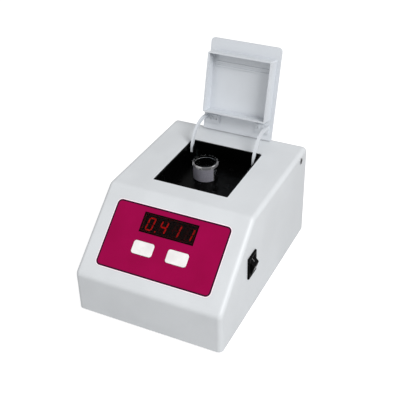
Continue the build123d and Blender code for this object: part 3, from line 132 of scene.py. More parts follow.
# %% [markdown]
# A finish is a small graph of nodes. A few short helpers keep the graphs readable: they
# turn a screen colour into the linear colour that the shader wants, add a node and wire its
# inputs, and do one step of arithmetic. The two colours that a Mix node mixes share their
# names with its other inputs, so they are reached by number.

# %% Helpers for nodes
MIX_FIRST = 6
MIX_SECOND = 7
MIX_RESULT = 2


def linear(red, green, blue):
    """A screen colour from 0 to 255 as a shader's linear colour, by the sRGB rule."""
    def one(value):
        value = value / 255
        return value / 12.92 if value <= 0.04045 else ((value + 0.055) / 1.055) ** 2.4
    return (one(red), one(green), one(blue), 1.0)


def grey(level):
    """A linear grey."""
    return (level, level, level, 1.0)


def scaled(colour, factor):
    """A colour made darker or lighter, but no lighter than white."""
    return tuple(min(1.0, channel * factor) for channel in colour[:3]) + (1.0,)


def set_inputs(tree, node, inputs):
    """Wires sockets into a node's inputs, and writes plain values into them."""
    for name, value in inputs.items():
        if isinstance(value, bpy.types.NodeSocket):
            tree.links.new(value, node.inputs[name])
        else:
            node.inputs[name].default_value = value


def add_node(tree, kind, inputs=None, **settings):
    """Adds a node, sets it up, and wires or fills its inputs."""
    node = tree.nodes.new(kind)
    for name, value in settings.items():
        setattr(node, name, value)
    set_inputs(tree, node, inputs or {})
    return node


def calc(tree, operation, first, second=0.0):
    """One step of arithmetic between sockets or numbers."""
    node = add_node(tree, "ShaderNodeMath", {0: first, 1: second}, operation=operation)
    return node.outputs[0]


def times(tree, first, second):
    """The product of two sockets or numbers."""
    return calc(tree, "MULTIPLY", first, second)


def calc_vector(tree, operation, first, second=(0, 0, 0)):
    """One step of arithmetic with vectors. Its outputs are a Vector and a Value."""
    inputs = {0: first, 1: tuple(second)}
    return add_node(tree, "ShaderNodeVectorMath", inputs, operation=operation).outputs


def mix_colours(tree, share, first, second):
    """The first colour where share is 0 and the second where it is 1."""
    inputs = {"Factor": share, MIX_FIRST: first, MIX_SECOND: second}
    return add_node(tree, "ShaderNodeMix", inputs, data_type="RGBA").outputs[MIX_RESULT]


print("node helpers ready")

# %% [markdown]
# No real surface is quite even. Noise gives it clouds and grain, a ramp turns the noise into
# a share from 0 to 1, and a bump turns it into relief. Noise has values mostly near its
# middle, so the ramps cover a narrow or a wide span about 0.5. Every finish starts the same
# way: a material, its shader, and the place on the object that the patterns are drawn by.

# %% Helpers for finishes
NARROW = (0.35, 0.65)
WIDE = (0.3, 0.7)
finishes = {}


def start_finish(name, rough, metal=0.0, specular=0.5):
    """Starts a finish and keeps it under its name. Gives its graph, shader and place."""
    finish = bpy.data.materials.new(name)
    finish.use_nodes = True
    finishes[name] = finish
    tree = finish.node_tree
    shader = tree.nodes["Principled BSDF"]
    inputs = {"Roughness": rough, "Metallic": metal, "Specular IOR Level": specular}
    set_inputs(tree, shader, inputs)
    place = add_node(tree, "ShaderNodeTexCoord").outputs["Object"]
    return tree, shader, place


def noise(tree, place, size, detail=3.0):
    """Cloudy noise whose blobs are about that size in metres."""
    inputs = {"Vector": place, "Scale": 1 / size, "Detail": detail}
    return add_node(tree, "ShaderNodeTexNoise", inputs).outputs["Fac"]


def roughen(tree, shader, height, depth):
    """Gives the surface that relief, with its depth in metres."""
    bump = add_node(tree, "ShaderNodeBump", {"Height": height, "Distance": depth})
    tree.links.new(bump.outputs["Normal"], shader.inputs["Normal"])


def spread(tree, value, low, high, new_low, new_high):
    """Maps a value from one range to another and holds it inside."""
    inputs = {
        "Value": value,
        "From Min": low,
        "From Max": high,
        "To Min": new_low,
        "To Max": new_high,
    }
    return add_node(tree, "ShaderNodeMapRange", inputs).outputs["Result"]


def ramp_up(tree, value, span=NARROW):
    """0 below the span, 1 above it, and a ramp across it."""
    return spread(tree, value, *span, 0.0, 1.0)


def ramp_down(tree, value, span):
    """1 below the span, 0 above it, and a ramp across it."""
    return spread(tree, value, *span, 1.0, 0.0)


def around(limit, soft):
    """The span from just below a limit to just above it."""
    return (limit - soft, limit + soft)


print("finish helpers ready")

# %% [markdown]
# The housing is injection moulded and spark textured: satin, with a grain of about a third
# of a millimetre, and very slightly cloudy. A bump from fine noise gives the grain, and a
# second, broad noise moves colour and gloss a little. The lid and its arms come from the
# same plastic, one shade cooler and a little glossier.

# %% Pale moulded plastics
LID_GREY = linear(208, 212, 217)
LID_ROUGHNESS = 0.38
MOULDED_CLOUD = 45 * MM
MOULDED_DARKER = 0.97
MOULDED_LIGHTER = 1.03
MOULDED_GLOSSIER = 0.05
MOULDED_DULLER = 0.06


def moulded_plastic(name, colour, grain=0.35 * MM, depth=0.02 * MM, rough=0.42):
    """Satin moulded plastic with a fine texture and slight clouding."""
    tree, shader, place = start_finish(name, rough)
    broad = noise(tree, place, MOULDED_CLOUD, detail=4.0)
    darker, lighter = scaled(colour, MOULDED_DARKER), scaled(colour, MOULDED_LIGHTER)
    shade = mix_colours(tree, ramp_up(tree, broad), darker, lighter)
    gloss = spread(tree, broad, *WIDE, rough - MOULDED_GLOSSIER, rough + MOULDED_DULLER)
    set_inputs(tree, shader, {"Base Color": shade, "Roughness": gloss})
    roughen(tree, shader, noise(tree, place, grain, detail=2.0), depth)


moulded_plastic("housing_plastic", linear(211, 214, 217))
moulded_plastic("lid_plastic", LID_GREY, rough=LID_ROUGHNESS)
moulded_plastic("arm_plastic", LID_GREY, rough=LID_ROUGHNESS)
moulded_plastic("base_plastic", linear(172, 175, 175), 0.6 * MM, 0.04 * MM, rough=0.5)
moulded_plastic("plug_white", linear(226, 222, 208), rough=0.45)
moulded_plastic("plunger_plastic", linear(60, 60, 62))
print("pale plastics", len(finishes))

# %% [markdown]
# The chamber, the switch and the inlet are black. The chamber's tray is glossy and swallows
# light, the switch is satin, and the cell holder and the packages are matt. All of them keep
# a trace of texture, because a black without any looks like a hole in the picture. One
# function makes them all, so a table of what differs says the rest.

# %% Black plastics and rubber
BLACK_CLOUD = 25 * MM
BLACK_DARKEST = (0.8, 0.8, 0.84)
BLACK_LIGHTEST = (1.25, 1.25, 1.3)
BLACK_GLOSSIEST = 0.85
BLACK_DULLEST = 1.2
BLACKS = {
    # slot: colour level, roughness, grain in mm, relief in mm, mirror level
    "liner_black": (0.0008, 0.24, 0.5, 0.008, 0.05),
    "holder_black": (0.006, 0.6, 0.4, 0.02, 0.3),
    "switch_black": (0.001, 0.36, 0.3, 0.012, 0.05),
    "inlet_black": (0.012, 0.42, 0.35, 0.02, 0.5),
    "chip_black": (0.014, 0.55, 0.2, 0.02, 0.5),
    "display_black": (0.004, 0.5, 0.3, 0.01, 0.2),
    "foot_rubber": (0.022, 0.8, 0.7, 0.06, 0.3),
    "lead_sleeve": (0.02, 0.45, 0.5, 0.02, 0.5),
}


def black_plastic(name, level, rough, grain_mm, depth_mm, specular):
    """Black plastic with a fine grain, from matt to glossy."""
    tree, shader, place = start_finish(name, rough, specular=specular)
    broad = noise(tree, place, BLACK_CLOUD, detail=4.0)
    low = tuple(level * factor for factor in BLACK_DARKEST) + (1.0,)
    high = tuple(level * factor for factor in BLACK_LIGHTEST) + (1.0,)
    shade = mix_colours(tree, ramp_up(tree, broad), low, high)
    gloss = spread(tree, broad, *WIDE, rough * BLACK_GLOSSIEST, rough * BLACK_DULLEST)
    set_inputs(tree, shader, {"Base Color": shade, "Roughness": gloss})
    roughen(tree, shader, noise(tree, place, grain_mm * MM, detail=2.0), depth_mm * MM)


for name, values in BLACKS.items():
    black_plastic(name, *values)
print("black plastics", len(BLACKS))

# %% [markdown]
# Some patterns follow an outline: the border lines of the key panel, and the black print
# round the display's pane. A texture with such an outline would need an image. The graph
# measures the distance to a rounded rectangle on the slope instead.

# %% Distance to an outline on the slope
def along(tree, place, origin, direction):
    """How far a point lies from an origin along a direction."""
    moved = calc_vector(tree, "SUBTRACT", place, origin)["Vector"]
    return calc_vector(tree, "DOT_PRODUCT", moved, direction)["Value"]


def outline_distance(tree, place, centre, half_width, half_length, corner):
    """Signed distance to a rounded rectangle, negative inside, its centre up the slope."""
    middle = slope_origin + up_slope * centre
    across = calc(tree, "ABSOLUTE", along(tree, place, middle, ACROSS))
    length = calc(tree, "ABSOLUTE", along(tree, place, middle, up_slope))
    over_x = calc(tree, "SUBTRACT", across, half_width - corner)
    over_y = calc(tree, "SUBTRACT", length, half_length - corner)
    square_x = calc(tree, "POWER", calc(tree, "MAXIMUM", over_x, 0.0), 2.0)
    square_y = calc(tree, "POWER", calc(tree, "MAXIMUM", over_y, 0.0), 2.0)
    outside = calc(tree, "SQRT", calc(tree, "ADD", square_x, square_y))
    inside = calc(tree, "MINIMUM", calc(tree, "MAXIMUM", over_x, over_y), 0.0)
    return calc(tree, "SUBTRACT", calc(tree, "ADD", outside, inside), corner)


print("outline helper ready")

# %% [markdown]
# The key panel is a printed polyester sheet: one strong colour and a thin dark line near its
# edge. A pale line along the cut is a painted highlight on that edge. The limits of those
# lines are distances from the cut edge, and they are negative because they lie inside it.

# %% Printed panel
PANEL_HALF_WIDTH = 118.6 * MM / 2
PANEL_HALF_LENGTH = 67.7 * MM / 2
PANEL_BOTTOM = 12.8 * MM
PANEL_CENTRE = PANEL_BOTTOM + PANEL_HALF_LENGTH
PANEL_CORNER = 5.6 * MM
PANEL_COLOUR = linear(154, 1, 70)
PANEL_SHADE = linear(147, 0, 65)
PANEL_LINE = linear(52, 6, 34)
# Colour of the painted highlight along the cut edge.
PANEL_EDGE_HIGHLIGHT = linear(255, 240, 247)
LINE_START = -2.3 * MM
LINE_END = -0.85 * MM
LINE_SOFTNESS = 0.1 * MM
EDGE_HIGHLIGHT_END = -0.7 * MM


def printed_panel(name):
    """The panel's print and its painted edge highlight, with the border lines worked out from its outline."""
    tree, shader, place = start_finish(name, rough=0.34, specular=0.08)
    size = (PANEL_HALF_WIDTH, PANEL_HALF_LENGTH)
    edge = outline_distance(tree, place, PANEL_CENTRE, *size, PANEL_CORNER)
    cloud = ramp_up(tree, noise(tree, place, size=30 * MM))
    colour = mix_colours(tree, cloud, PANEL_SHADE, PANEL_COLOUR)
    starting = ramp_up(tree, edge, around(LINE_START, LINE_SOFTNESS))
    ending = ramp_down(tree, edge, around(LINE_END, LINE_SOFTNESS))
    line = times(tree, starting, ending)
    colour = mix_colours(tree, line, colour, PANEL_LINE)
    # Painted highlight: a pale line along the cut edge.
    rim = ramp_up(tree, edge, (LINE_END, EDGE_HIGHLIGHT_END))
    colour = mix_colours(tree, rim, colour, PANEL_EDGE_HIGHLIGHT)
    set_inputs(tree, shader, {"Base Color": colour})
    roughen(tree, shader, noise(tree, place, 0.25 * MM, detail=2.0), depth=0.008 * MM)


printed_panel("panel_film")
print("panel finish ready")

# %% [markdown]
# The key caps are white and semi glossy. The display's pane is smoked red acrylic: it lets
# the lit digits through and holds nearly everything else back. The lit segments glow from
# inside, a little unevenly, and the unlit ones stay just visible, as they do on a real digit
# block.

# %% Keys, pane and digits
KEY_DARKER = linear(229, 227, 226)
KEY_LIGHTER = linear(240, 239, 237)
PANE_CENTRE = 63.8 * MM
PANE_HALF_WIDTH = 55.7 * MM / 2
PANE_HALF_LENGTH = 19.6 * MM / 2
PANE_CORNER = 0.5 * MM
PANE_BORDER = 1.5 * MM
PANE_IOR = 1.2
PANE_DARKER = (0.34, 0.020, 0.022, 1.0)
PANE_LIGHTER = (0.40, 0.024, 0.026, 1.0)
PANE_PRINT = (0.003, 0.002, 0.002, 1.0)
SEGMENT_DIMMED = 0.75


def key_plastic(name):
    """White cap plastic with faint clouds."""
    tree, shader, place = start_finish(name, rough=0.36)
    cloud = ramp_up(tree, noise(tree, place, size=9 * MM, detail=4.0))
    colour = mix_colours(tree, cloud, KEY_DARKER, KEY_LIGHTER)
    set_inputs(tree, shader, {"Base Color": colour})
    roughen(tree, shader, noise(tree, place, 0.3 * MM, detail=2.0), depth=0.01 * MM)


def smoked_pane(name):
    """Dark red acrylic that the digits shine through, printed black round its edge."""
    tree, shader, place = start_finish(name, rough=0.05, specular=0.1)
    size = (PANE_HALF_WIDTH, PANE_HALF_LENGTH)
    edge = outline_distance(tree, place, PANE_CENTRE, *size, PANE_CORNER)
    printed = ramp_up(tree, edge, around(-PANE_BORDER, 0.1 * MM))
    clear = calc(tree, "SUBTRACT", 1.0, printed)
    cloud = ramp_up(tree, noise(tree, place, size=20 * MM))
    colour = mix_colours(tree, cloud, PANE_DARKER, PANE_LIGHTER)
    colour = mix_colours(tree, printed, colour, PANE_PRINT)
    inputs = {"Base Color": colour, "Transmission Weight": clear, "IOR": PANE_IOR}
    set_inputs(tree, shader, inputs)
    roughen(tree, shader, noise(tree, place, size=6 * MM), depth=0.01 * MM)


def segment(name, colour, glow):
    """A light guide of the digit block, lit or dark."""
    tree, shader, place = start_finish(name, rough=0.4)
    grain = noise(tree, place, 0.5 * MM, detail=2.0)
    dim = scaled(colour, SEGMENT_DIMMED)
    shade = mix_colours(tree, ramp_up(tree, grain, WIDE), dim, colour)
    set_inputs(tree, shader, {"Base Color": shade})
    if glow:
        set_inputs(tree, shader, {"Emission Color": shade, "Emission Strength": glow})
    roughen(tree, shader, grain, depth=0.01 * MM)


key_plastic("key_white")
smoked_pane("window_red")
segment("segment_lit", (0.9, 0.06, 0.04, 1.0), glow=0.65)
segment("segment_dark", (0.10, 0.14, 0.10, 1.0), glow=0.0)
print("display finishes ready")

# %% [markdown]
# Metals here are small: screws, the axle, its bushes, the inlet's contacts and two cans.
# Their look is in the gloss, so a stretched noise draws the fine marks that turning and
# rolling leave, and the same noise lifts the relief a hair. Two kinds of screw are black or
# painted, so they get a plastic's finish instead.

# %% Metals
METAL_STRETCH = 0.06
METAL_MARK = 0.15 * MM
METAL_STAIN = 6 * MM
METAL_STAINED = 0.8
METAL_GLOSSIEST = 0.75
METAL_DULLEST = 1.3


def drawn_metal(name, colour, rough, along_axis):
    """Metal with fine marks that run along one axis."""
    tree, shader, place = start_finish(name, rough, metal=1.0)
    stretch = [1.0, 1.0, 1.0]
    stretch[along_axis] = METAL_STRETCH
    mapped = add_node(tree, "ShaderNodeMapping", {"Vector": place, "Scale": tuple(stretch)})
    marks = noise(tree, mapped.outputs["Vector"], METAL_MARK)
    stain = ramp_up(tree, noise(tree, place, METAL_STAIN))
    shade = mix_colours(tree, stain, scaled(colour, METAL_STAINED), colour)
    gloss = spread(tree, marks, *WIDE, rough * METAL_GLOSSIEST, rough * METAL_DULLEST)
    set_inputs(tree, shader, {"Base Color": shade, "Roughness": gloss})
    roughen(tree, shader, marks, depth=0.004 * MM)


drawn_metal("screw_steel", (0.60, 0.61, 0.63, 1.0), rough=0.28, along_axis=2)
black_plastic("screw_black", 0.001, 0.5, grain_mm=0.2, depth_mm=0.01, specular=0.04)
moulded_plastic("screw_painted", LID_GREY, rough=LID_ROUGHNESS)
drawn_metal("axle_steel", (0.05, 0.05, 0.055, 1.0), rough=0.35, along_axis=0)
drawn_metal("bush_steel", (0.80, 0.81, 0.83, 1.0), rough=0.25, along_axis=0)
drawn_metal("contact_metal", (0.78, 0.62, 0.30, 1.0), rough=0.25, along_axis=1)
drawn_metal("capacitor_can", (0.66, 0.67, 0.69, 1.0), rough=0.3, along_axis=2)
drawn_metal("detector_can", (0.70, 0.71, 0.72, 1.0), rough=0.22, along_axis=0)
print("metals ready")

# %% [markdown]
# Near the hinge the photograph shows black where the solids go on: in the middle of the bush,
# and on the lower end of each arm, all but a narrow strip that faces the front. That black is
# painted shade, on the bush's hole and on the arms' lower ends in the chamber. Both are told
# from the distance to the lid's axle. On an arm the limit moves with the height, which makes
# the pale strip taper downwards.

# %% Painted shade near the lid's axle
BUSH_HOLE_RADIUS = 2.75 * MM
# Painted shade: black for the bush's hole and for the arms' lower ends.
BUSH_PAINTED_SHADE = (0.004, 0.004, 0.005, 1.0)
TAIL_PAINTED_SHADE = grey(0.001)
TAIL_MIRROR = 0.05
PLASTIC_MIRROR = 0.5
TAIL_LOW = 100.3 * MM
TAIL_HIGH = 103.1 * MM
TAIL_FADE = 0.3 * MM
TAIL_OUTER_RADIUS = 27.0 * MM
TAIL_INNER_RADIUS = 23.5 * MM
WITHOUT_X = (0, 1, 1)
lid_axle = hinges["lid_hinge"]


def open_finish(name):
    """The graph, shader, place and colour of a finish that was made before."""
    tree = finishes[name].node_tree
    shader = tree.nodes["Principled BSDF"]
    place = tree.nodes["Texture Coordinate"].outputs["Object"]
    return tree, shader, place, shader.inputs["Base Color"].links[0].from_socket


def from_axle(tree, place):
    """How far a point lies from the lid's axle."""
    off = calc_vector(tree, "SUBTRACT", place, lid_axle)["Vector"]
    flat = calc_vector(tree, "MULTIPLY", off, WITHOUT_X)["Vector"]
    return calc_vector(tree, "LENGTH", flat)["Value"]


def paint_shade_inside(name, radius):
    """Paints shade on a metal: black nearer to the lid's axle than that radius."""
    tree, shader, place, bright = open_finish(name)
    # Painted shade: the middle of the bush turns black instead of bright metal.
    metal = ramp_up(tree, from_axle(tree, place), around(radius, 0.15 * MM))
    colour = mix_colours(tree, metal, BUSH_PAINTED_SHADE, bright)
    set_inputs(tree, shader, {"Base Color": colour, "Metallic": metal})


def paint_shade_on_tail(name):
    """Paints shade on the lower end of a hinge arm: black, all but the strip that faces the front."""
    tree, shader, place, pale = open_finish(name)
    height = add_node(tree, "ShaderNodeSeparateXYZ", {0: place}).outputs["Z"]
    limit = spread(tree, height, TAIL_LOW, TAIL_HIGH, TAIL_OUTER_RADIUS, TAIL_INNER_RADIUS)
    past = calc(tree, "SUBTRACT", from_axle(tree, place), limit)
    inside = ramp_down(tree, past, around(0.0, 0.1 * MM))
    low = ramp_down(tree, height, (TAIL_HIGH, TAIL_HIGH + TAIL_FADE))
    # Painted shade: the lower end turns black, with less mirror, where the chamber's shade falls on it.
    black = times(tree, inside, low)
    colour = mix_colours(tree, black, pale, TAIL_PAINTED_SHADE)
    mirror = spread(tree, black, 0.0, 1.0, PLASTIC_MIRROR, TAIL_MIRROR)
    set_inputs(tree, shader, {"Base Color": colour, "Specular IOR Level": mirror})


paint_shade_inside("bush_steel", BUSH_HOLE_RADIUS)
paint_shade_on_tail("arm_plastic")
print("lid's axle in mm", [round(c / MM, 1) for c in lid_axle])

# %% [markdown]
# Glass and water are told apart by how they bend and tint light. The cell's glass is clear,
# with a frosted patch on its front below the lip, which is why that side reads as grey
# against the black chamber; that lavender grey is partly frost and partly a painted
# reflection. On the side in view its lip is ground and carries a painted sheen, with
# painted highlights. The place on the object decides where the patch lies. The cell and its
# water mirror little of the white studio, so that the cell stays dark inside.

# %% Clear finishes
CELL_LIP_HEIGHT = 2.8 * MM
PATCH_SIDE = Vector((0.0, -1.0, 0.0))
PATCH_START = 5.3 * MM
LIP_SIDE = Vector((0.44, -0.9, 0.0)).normalized()
LIP_SPAN = (-1.0 * MM, 4.0 * MM)
PAINTED_HIGHLIGHT_SPAN = (0.48, 0.6)
CELL_CLEAR = (0.95, 0.96, 0.98, 1.0)
# Lavender grey of the frost, partly a painted reflection.
CELL_FROST_AND_REFLECTION = (0.36, 0.35, 0.42, 1.0)
# Painted sheen and painted highlight colours of the lip on the side in view.
LIP_PAINTED_SHEEN = (0.22, 0.22, 0.23, 1.0)
LIP_PAINTED_HIGHLIGHT = (0.85, 0.85, 0.86, 1.0)
CELL_IOR = 1.5
CELL_MIRROR = 0.08
CLEAR_ROUGHNESS = 0.05
GROUND_ROUGHNESS = 0.4
GROUND_CLEARNESS = 0.45
GRIT_LEAST = 0.8
cell_low, cell_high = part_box("sample_cell")
cell_middle = (cell_low + cell_high) / 2


def clear_solid(name, colour, ior, rough, mirror=1.0):
    """Glass, acrylic or water, with barely uneven faces."""
    tree, shader, place = start_finish(name, rough)
    cloud = ramp_up(tree, noise(tree, place, size=12 * MM))
    shade = mix_colours(tree, cloud, colour, scaled(colour, 1.02))
    inputs = {
        "Base Color": shade,
        "Transmission Weight": 1.0,
        "IOR": ior,
        "Specular Tint": grey(mirror),
    }
    set_inputs(tree, shader, inputs)
    roughen(tree, shader, noise(tree, place, size=4 * MM), depth=0.005 * MM)


def frost_and_reflection_share(tree, place, below):
    """1 on the patch below the lip that faces the front, frost with a painted reflection, and 0 elsewhere."""
    forward = along(tree, place, cell_middle, PATCH_SIDE)
    facing = ramp_up(tree, forward, around(PATCH_START, 0.7 * MM))
    grit = spread(tree, noise(tree, place, 1.2 * MM, detail=4.0), *WIDE, GRIT_LEAST, 1.0)
    return times(tree, times(tree, below, facing), grit)


def frosted_cell_with_painted_light(name):
    """Clear glass, frosted with a painted reflection below the lip, and a ground lip with painted sheen and
    highlights on the side in view.
    """
    tree, shader, place = start_finish(name, CLEAR_ROUGHNESS)
    height = add_node(tree, "ShaderNodeSeparateXYZ", {0: place}).outputs["Z"]
    lip_low = cell_high.z - CELL_LIP_HEIGHT
    below = ramp_down(tree, height, (lip_low - 0.3 * MM, lip_low + 0.1 * MM))
    # Frost with a painted reflection on the front below the lip.
    frost_and_reflection = frost_and_reflection_share(tree, place, below)
    # On the side in view the lip gets a painted sheen.
    nearer = ramp_up(tree, along(tree, place, cell_middle, LIP_SIDE), LIP_SPAN)
    lip = times(tree, calc(tree, "SUBTRACT", 1.0, below), nearer)
    # Painted highlights on the lip, from noise.
    painted_highlight = ramp_up(tree, noise(tree, place, 5 * MM, detail=2.0), PAINTED_HIGHLIGHT_SPAN)
    ground = mix_colours(tree, painted_highlight, LIP_PAINTED_SHEEN, LIP_PAINTED_HIGHLIGHT)
    colour = mix_colours(tree, frost_and_reflection, CELL_CLEAR, CELL_FROST_AND_REFLECTION)
    worked = calc(tree, "MAXIMUM", frost_and_reflection, lip)
    inputs = {
        "Base Color": mix_colours(tree, lip, colour, ground),
        "Roughness": spread(tree, worked, 0.0, 1.0, CLEAR_ROUGHNESS, GROUND_ROUGHNESS),
        "Transmission Weight": spread(tree, worked, 0.0, 1.0, 1.0, GROUND_CLEARNESS),
        "Specular Tint": mix_colours(tree, worked, grey(CELL_MIRROR), grey(1.0)),
        "IOR": CELL_IOR,
    }
    set_inputs(tree, shader, inputs)
    roughen(tree, shader, noise(tree, place, 0.4 * MM, detail=2.0), depth=0.01 * MM)


frosted_cell_with_painted_light("cell_glass")
clear_solid("water", (0.90, 0.96, 0.98, 1.0), ior=1.33, rough=0.0, mirror=0.1)
clear_solid("lens_glass", (0.95, 0.98, 1.0, 1.0), ior=1.52, rough=0.02)
clear_solid("filter_glass", (0.10, 0.35, 0.75, 1.0), ior=1.52, rough=0.03)
clear_solid("lamp_clear", (0.93, 0.95, 0.98, 1.0), ior=1.49, rough=0.05)
print("clear finishes ready")

# %% [markdown]
# The circuit boards are green lacquer over copper. A brick texture stands for the tracks
# under the lacquer, clouds break it up, and the relief follows it. The ribbon cable shows
# its separate conductors as parallel ridges across its width, with painted shade in the
# grooves between them.

# %% Boards and ribbon
BOARD_PATTERN = {
    "Color1": (0.012, 0.105, 0.045, 1.0),
    "Color2": (0.016, 0.125, 0.052, 1.0),
    "Mortar": (0.028, 0.19, 0.075, 1.0),
    "Mortar Size": 0.03,
    "Scale": 1 / (9 * MM),
}
BOARD_CLOUD = (0.02, 0.15, 0.06, 1.0)
BOARD_CLOUD_SPAN = (0.4, 0.6)
BOARD_CLOUD_MOST = 0.5
RIBBON_PITCH = 1.27 * MM
# The darker grey is painted shade in the grooves between conductors.
RIBBON_GROOVE_SHADE = linear(120, 122, 126)
RIBBON_LIGHTER = linear(178, 180, 184)
RIBBON_MARK = linear(150, 40, 44)
RIBBON_CREST = (-1.0, 0.2)
ribbon_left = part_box("ribbon_cable")[0].x


def circuit_board(name):
    """Green lacquered board with faint tracks."""
    tree, shader, place = start_finish(name, rough=0.3)
    tracks = add_node(tree, "ShaderNodeTexBrick", {"Vector": place, **BOARD_PATTERN})
    blobs = noise(tree, place, size=8 * MM)
    cloud = spread(tree, blobs, *BOARD_CLOUD_SPAN, 0.0, BOARD_CLOUD_MOST)
    colour = mix_colours(tree, cloud, tracks.outputs["Color"], BOARD_CLOUD)
    set_inputs(tree, shader, {"Base Color": colour})
    roughen(tree, shader, tracks.outputs["Fac"], depth=0.02 * MM)


def ribbon_finish(name):
    """Grey ribbon with one coloured edge conductor and painted shade in its grooves."""
    tree, shader, place = start_finish(name, rough=0.45)
    across = add_node(tree, "ShaderNodeSeparateXYZ", {0: place}).outputs["X"]
    ridges = calc(tree, "SINE", times(tree, across, 2 * math.pi / RIBBON_PITCH))
    marked = ramp_down(tree, across, (ribbon_left + 1.0 * MM, ribbon_left + 1.3 * MM))
    # Painted shade: the grey darkens in the grooves between the conductors.
    crest = ramp_up(tree, ridges, RIBBON_CREST)
    colour = mix_colours(tree, crest, RIBBON_GROOVE_SHADE, RIBBON_LIGHTER)
    colour = mix_colours(tree, marked, colour, RIBBON_MARK)
    set_inputs(tree, shader, {"Base Color": colour})
    roughen(tree, shader, ridges, depth=0.12 * MM)


circuit_board("circuit_board")
ribbon_finish("ribbon_grey")
print("finishes in all", len(finishes))

# %% [markdown]
# Each solid names its material slot in the record, so one loop hands every solid its finish.

# %% Finishes onto the solids
slot_of = {entry["node"]: entry["material_slot"] for entry in frame["record"]["subparts"]}
for node, solid in frame["nodes"].items():
    solid.data.materials.clear()
    solid.data.materials.append(finishes[slot_of[node]])
print("solids finished", len(slot_of))

# %% [markdown]
# Geometry Nodes suit whatever repeats or follows a path. A tree is a recipe: its named
# inputs are the sizes, and one tree serves many pieces. These helpers make an empty tree
# with its inputs, and run a tree on a mesh of points or lines to get a plain mesh back.

# %% Helpers for Geometry Nodes
SOCKETS = {
    "length": "NodeSocketFloat",
    "count": "NodeSocketInt",
    "finish": "NodeSocketMaterial",
}
SHARP_ANGLE = math.radians(35)


def new_recipe(name, sizes):
    """An empty tree with a geometry input and the named inputs."""
    tree = bpy.data.node_groups.new(name, "GeometryNodeTree")
    tree.interface.new_socket("Shape", in_out="INPUT", socket_type="NodeSocketGeometry")
    for label, kind in sizes.items():
        tree.interface.new_socket(label, in_out="INPUT", socket_type=SOCKETS[kind])
    tree.interface.new_socket("Shape", in_out="OUTPUT", socket_type="NodeSocketGeometry")
    given = tree.nodes.new("NodeGroupInput").outputs
    return tree, given


def end_recipe(tree, shape, finish):
    """Turns instances into real faces, gives them their finish and ends the tree."""
    real = add_node(tree, "GeometryNodeRealizeInstances", {"Geometry": shape})
    inputs = {"Geometry": real.outputs["Geometry"], "Material": finish}
    painted = add_node(tree, "GeometryNodeSetMaterial", inputs)
    end = tree.nodes.new("NodeGroupOutput")
    tree.links.new(painted.outputs["Geometry"], end.inputs["Shape"])


def place_piece(name, mesh, finish):
    """Links a finished mesh as a piece, with smooth faces and sharp edges."""
    mesh.name = name
    if not mesh.materials:
        mesh.materials.append(finish)
    for face in mesh.polygons:
        face.use_smooth = True
    mesh.set_sharp_from_angle(angle=SHARP_ANGLE)
    print(name, "faces", len(mesh.polygons))
    return add_object(name, mesh)


def run_recipe(name, mesh, tree, sizes, finish):
    """Runs a tree on a mesh and returns its result as a plain object at the origin."""
    holder = add_object(name + "_recipe", mesh)
    modifier = holder.modifiers.new("recipe", "NODES")
    modifier.node_group = tree
    values = dict(sizes, Finish=finish)
    for item in tree.interface.items_tree:
        if item.in_out == "INPUT" and item.name in values:
            modifier[item.identifier] = values[item.name]
    graph = bpy.context.evaluated_depsgraph_get()
    made = bpy.data.meshes.new_from_object(holder.evaluated_get(graph))
    bpy.data.objects.remove(holder)
    return place_piece(name, made, finish)


print("recipe helpers ready")

# %% [markdown]
# The analyzer has thirty pan head screws. In CAD each is a plain head on a plain shank, and
# the real one has a domed head with a cross in it. One tree makes such a screw, and puts a
# copy on each point of a small mesh, turned to that point's axis. The head is a cylinder
# whose top sinks towards its rim, and two bars cut the cross out of it.

# %% Screw recipe
HEAD_SIDES = 24
HEAD_RINGS = 4
SHANK_SIDES = 16
DOME_DROP = 0.45
CROSS_REACH = 1.15
SCREW_SIZES = ("Head Radius", "Head Height", "Shank Radius", "Shank Length")
CROSS_SIZES = ("Cross Width", "Cross Depth")


def lifted(tree, mesh, height):
    """A mesh moved up by that height."""
    offset = add_node(tree, "ShaderNodeCombineXYZ", {"Z": height}).outputs["Vector"]
    inputs = {"Geometry": mesh, "Translation": offset}
    return add_node(tree, "GeometryNodeTransform", inputs).outputs["Geometry"]


def domed_head(tree, given):
    """A round head, standing on z = 0, whose top sinks towards its rim."""
    inputs = {
        "Vertices": HEAD_SIDES,
        "Fill Segments": HEAD_RINGS,
        "Radius": given["Head Radius"],
        "Depth": given["Head Height"],
    }
    head = add_node(tree, "GeometryNodeMeshCylinder", inputs).outputs["Mesh"]
    half = times(tree, given["Head Height"], 0.5)
    seated = lifted(tree, head, half)
    here = add_node(tree, "GeometryNodeInputPosition").outputs[0]
    spot = add_node(tree, "ShaderNodeSeparateXYZ", {0: here}).outputs
    square_x = times(tree, spot["X"], spot["X"])
    square_y = times(tree, spot["Y"], spot["Y"])
    square_rim = times(tree, given["Head Radius"], given["Head Radius"])
    outwards = calc(tree, "DIVIDE", calc(tree, "ADD", square_x, square_y), square_rim)
    fall = times(tree, outwards, -DOME_DROP)
    drop = times(tree, fall, given["Head Height"])
    on_top = calc(tree, "GREATER_THAN", spot["Z"], half)
    sunk = times(tree, drop, on_top)
    shift = add_node(tree, "ShaderNodeCombineXYZ", {"Z": sunk}).outputs["Vector"]
    inputs = {"Geometry": seated, "Offset": shift}
    return add_node(tree, "GeometryNodeSetPosition", inputs).outputs["Geometry"]


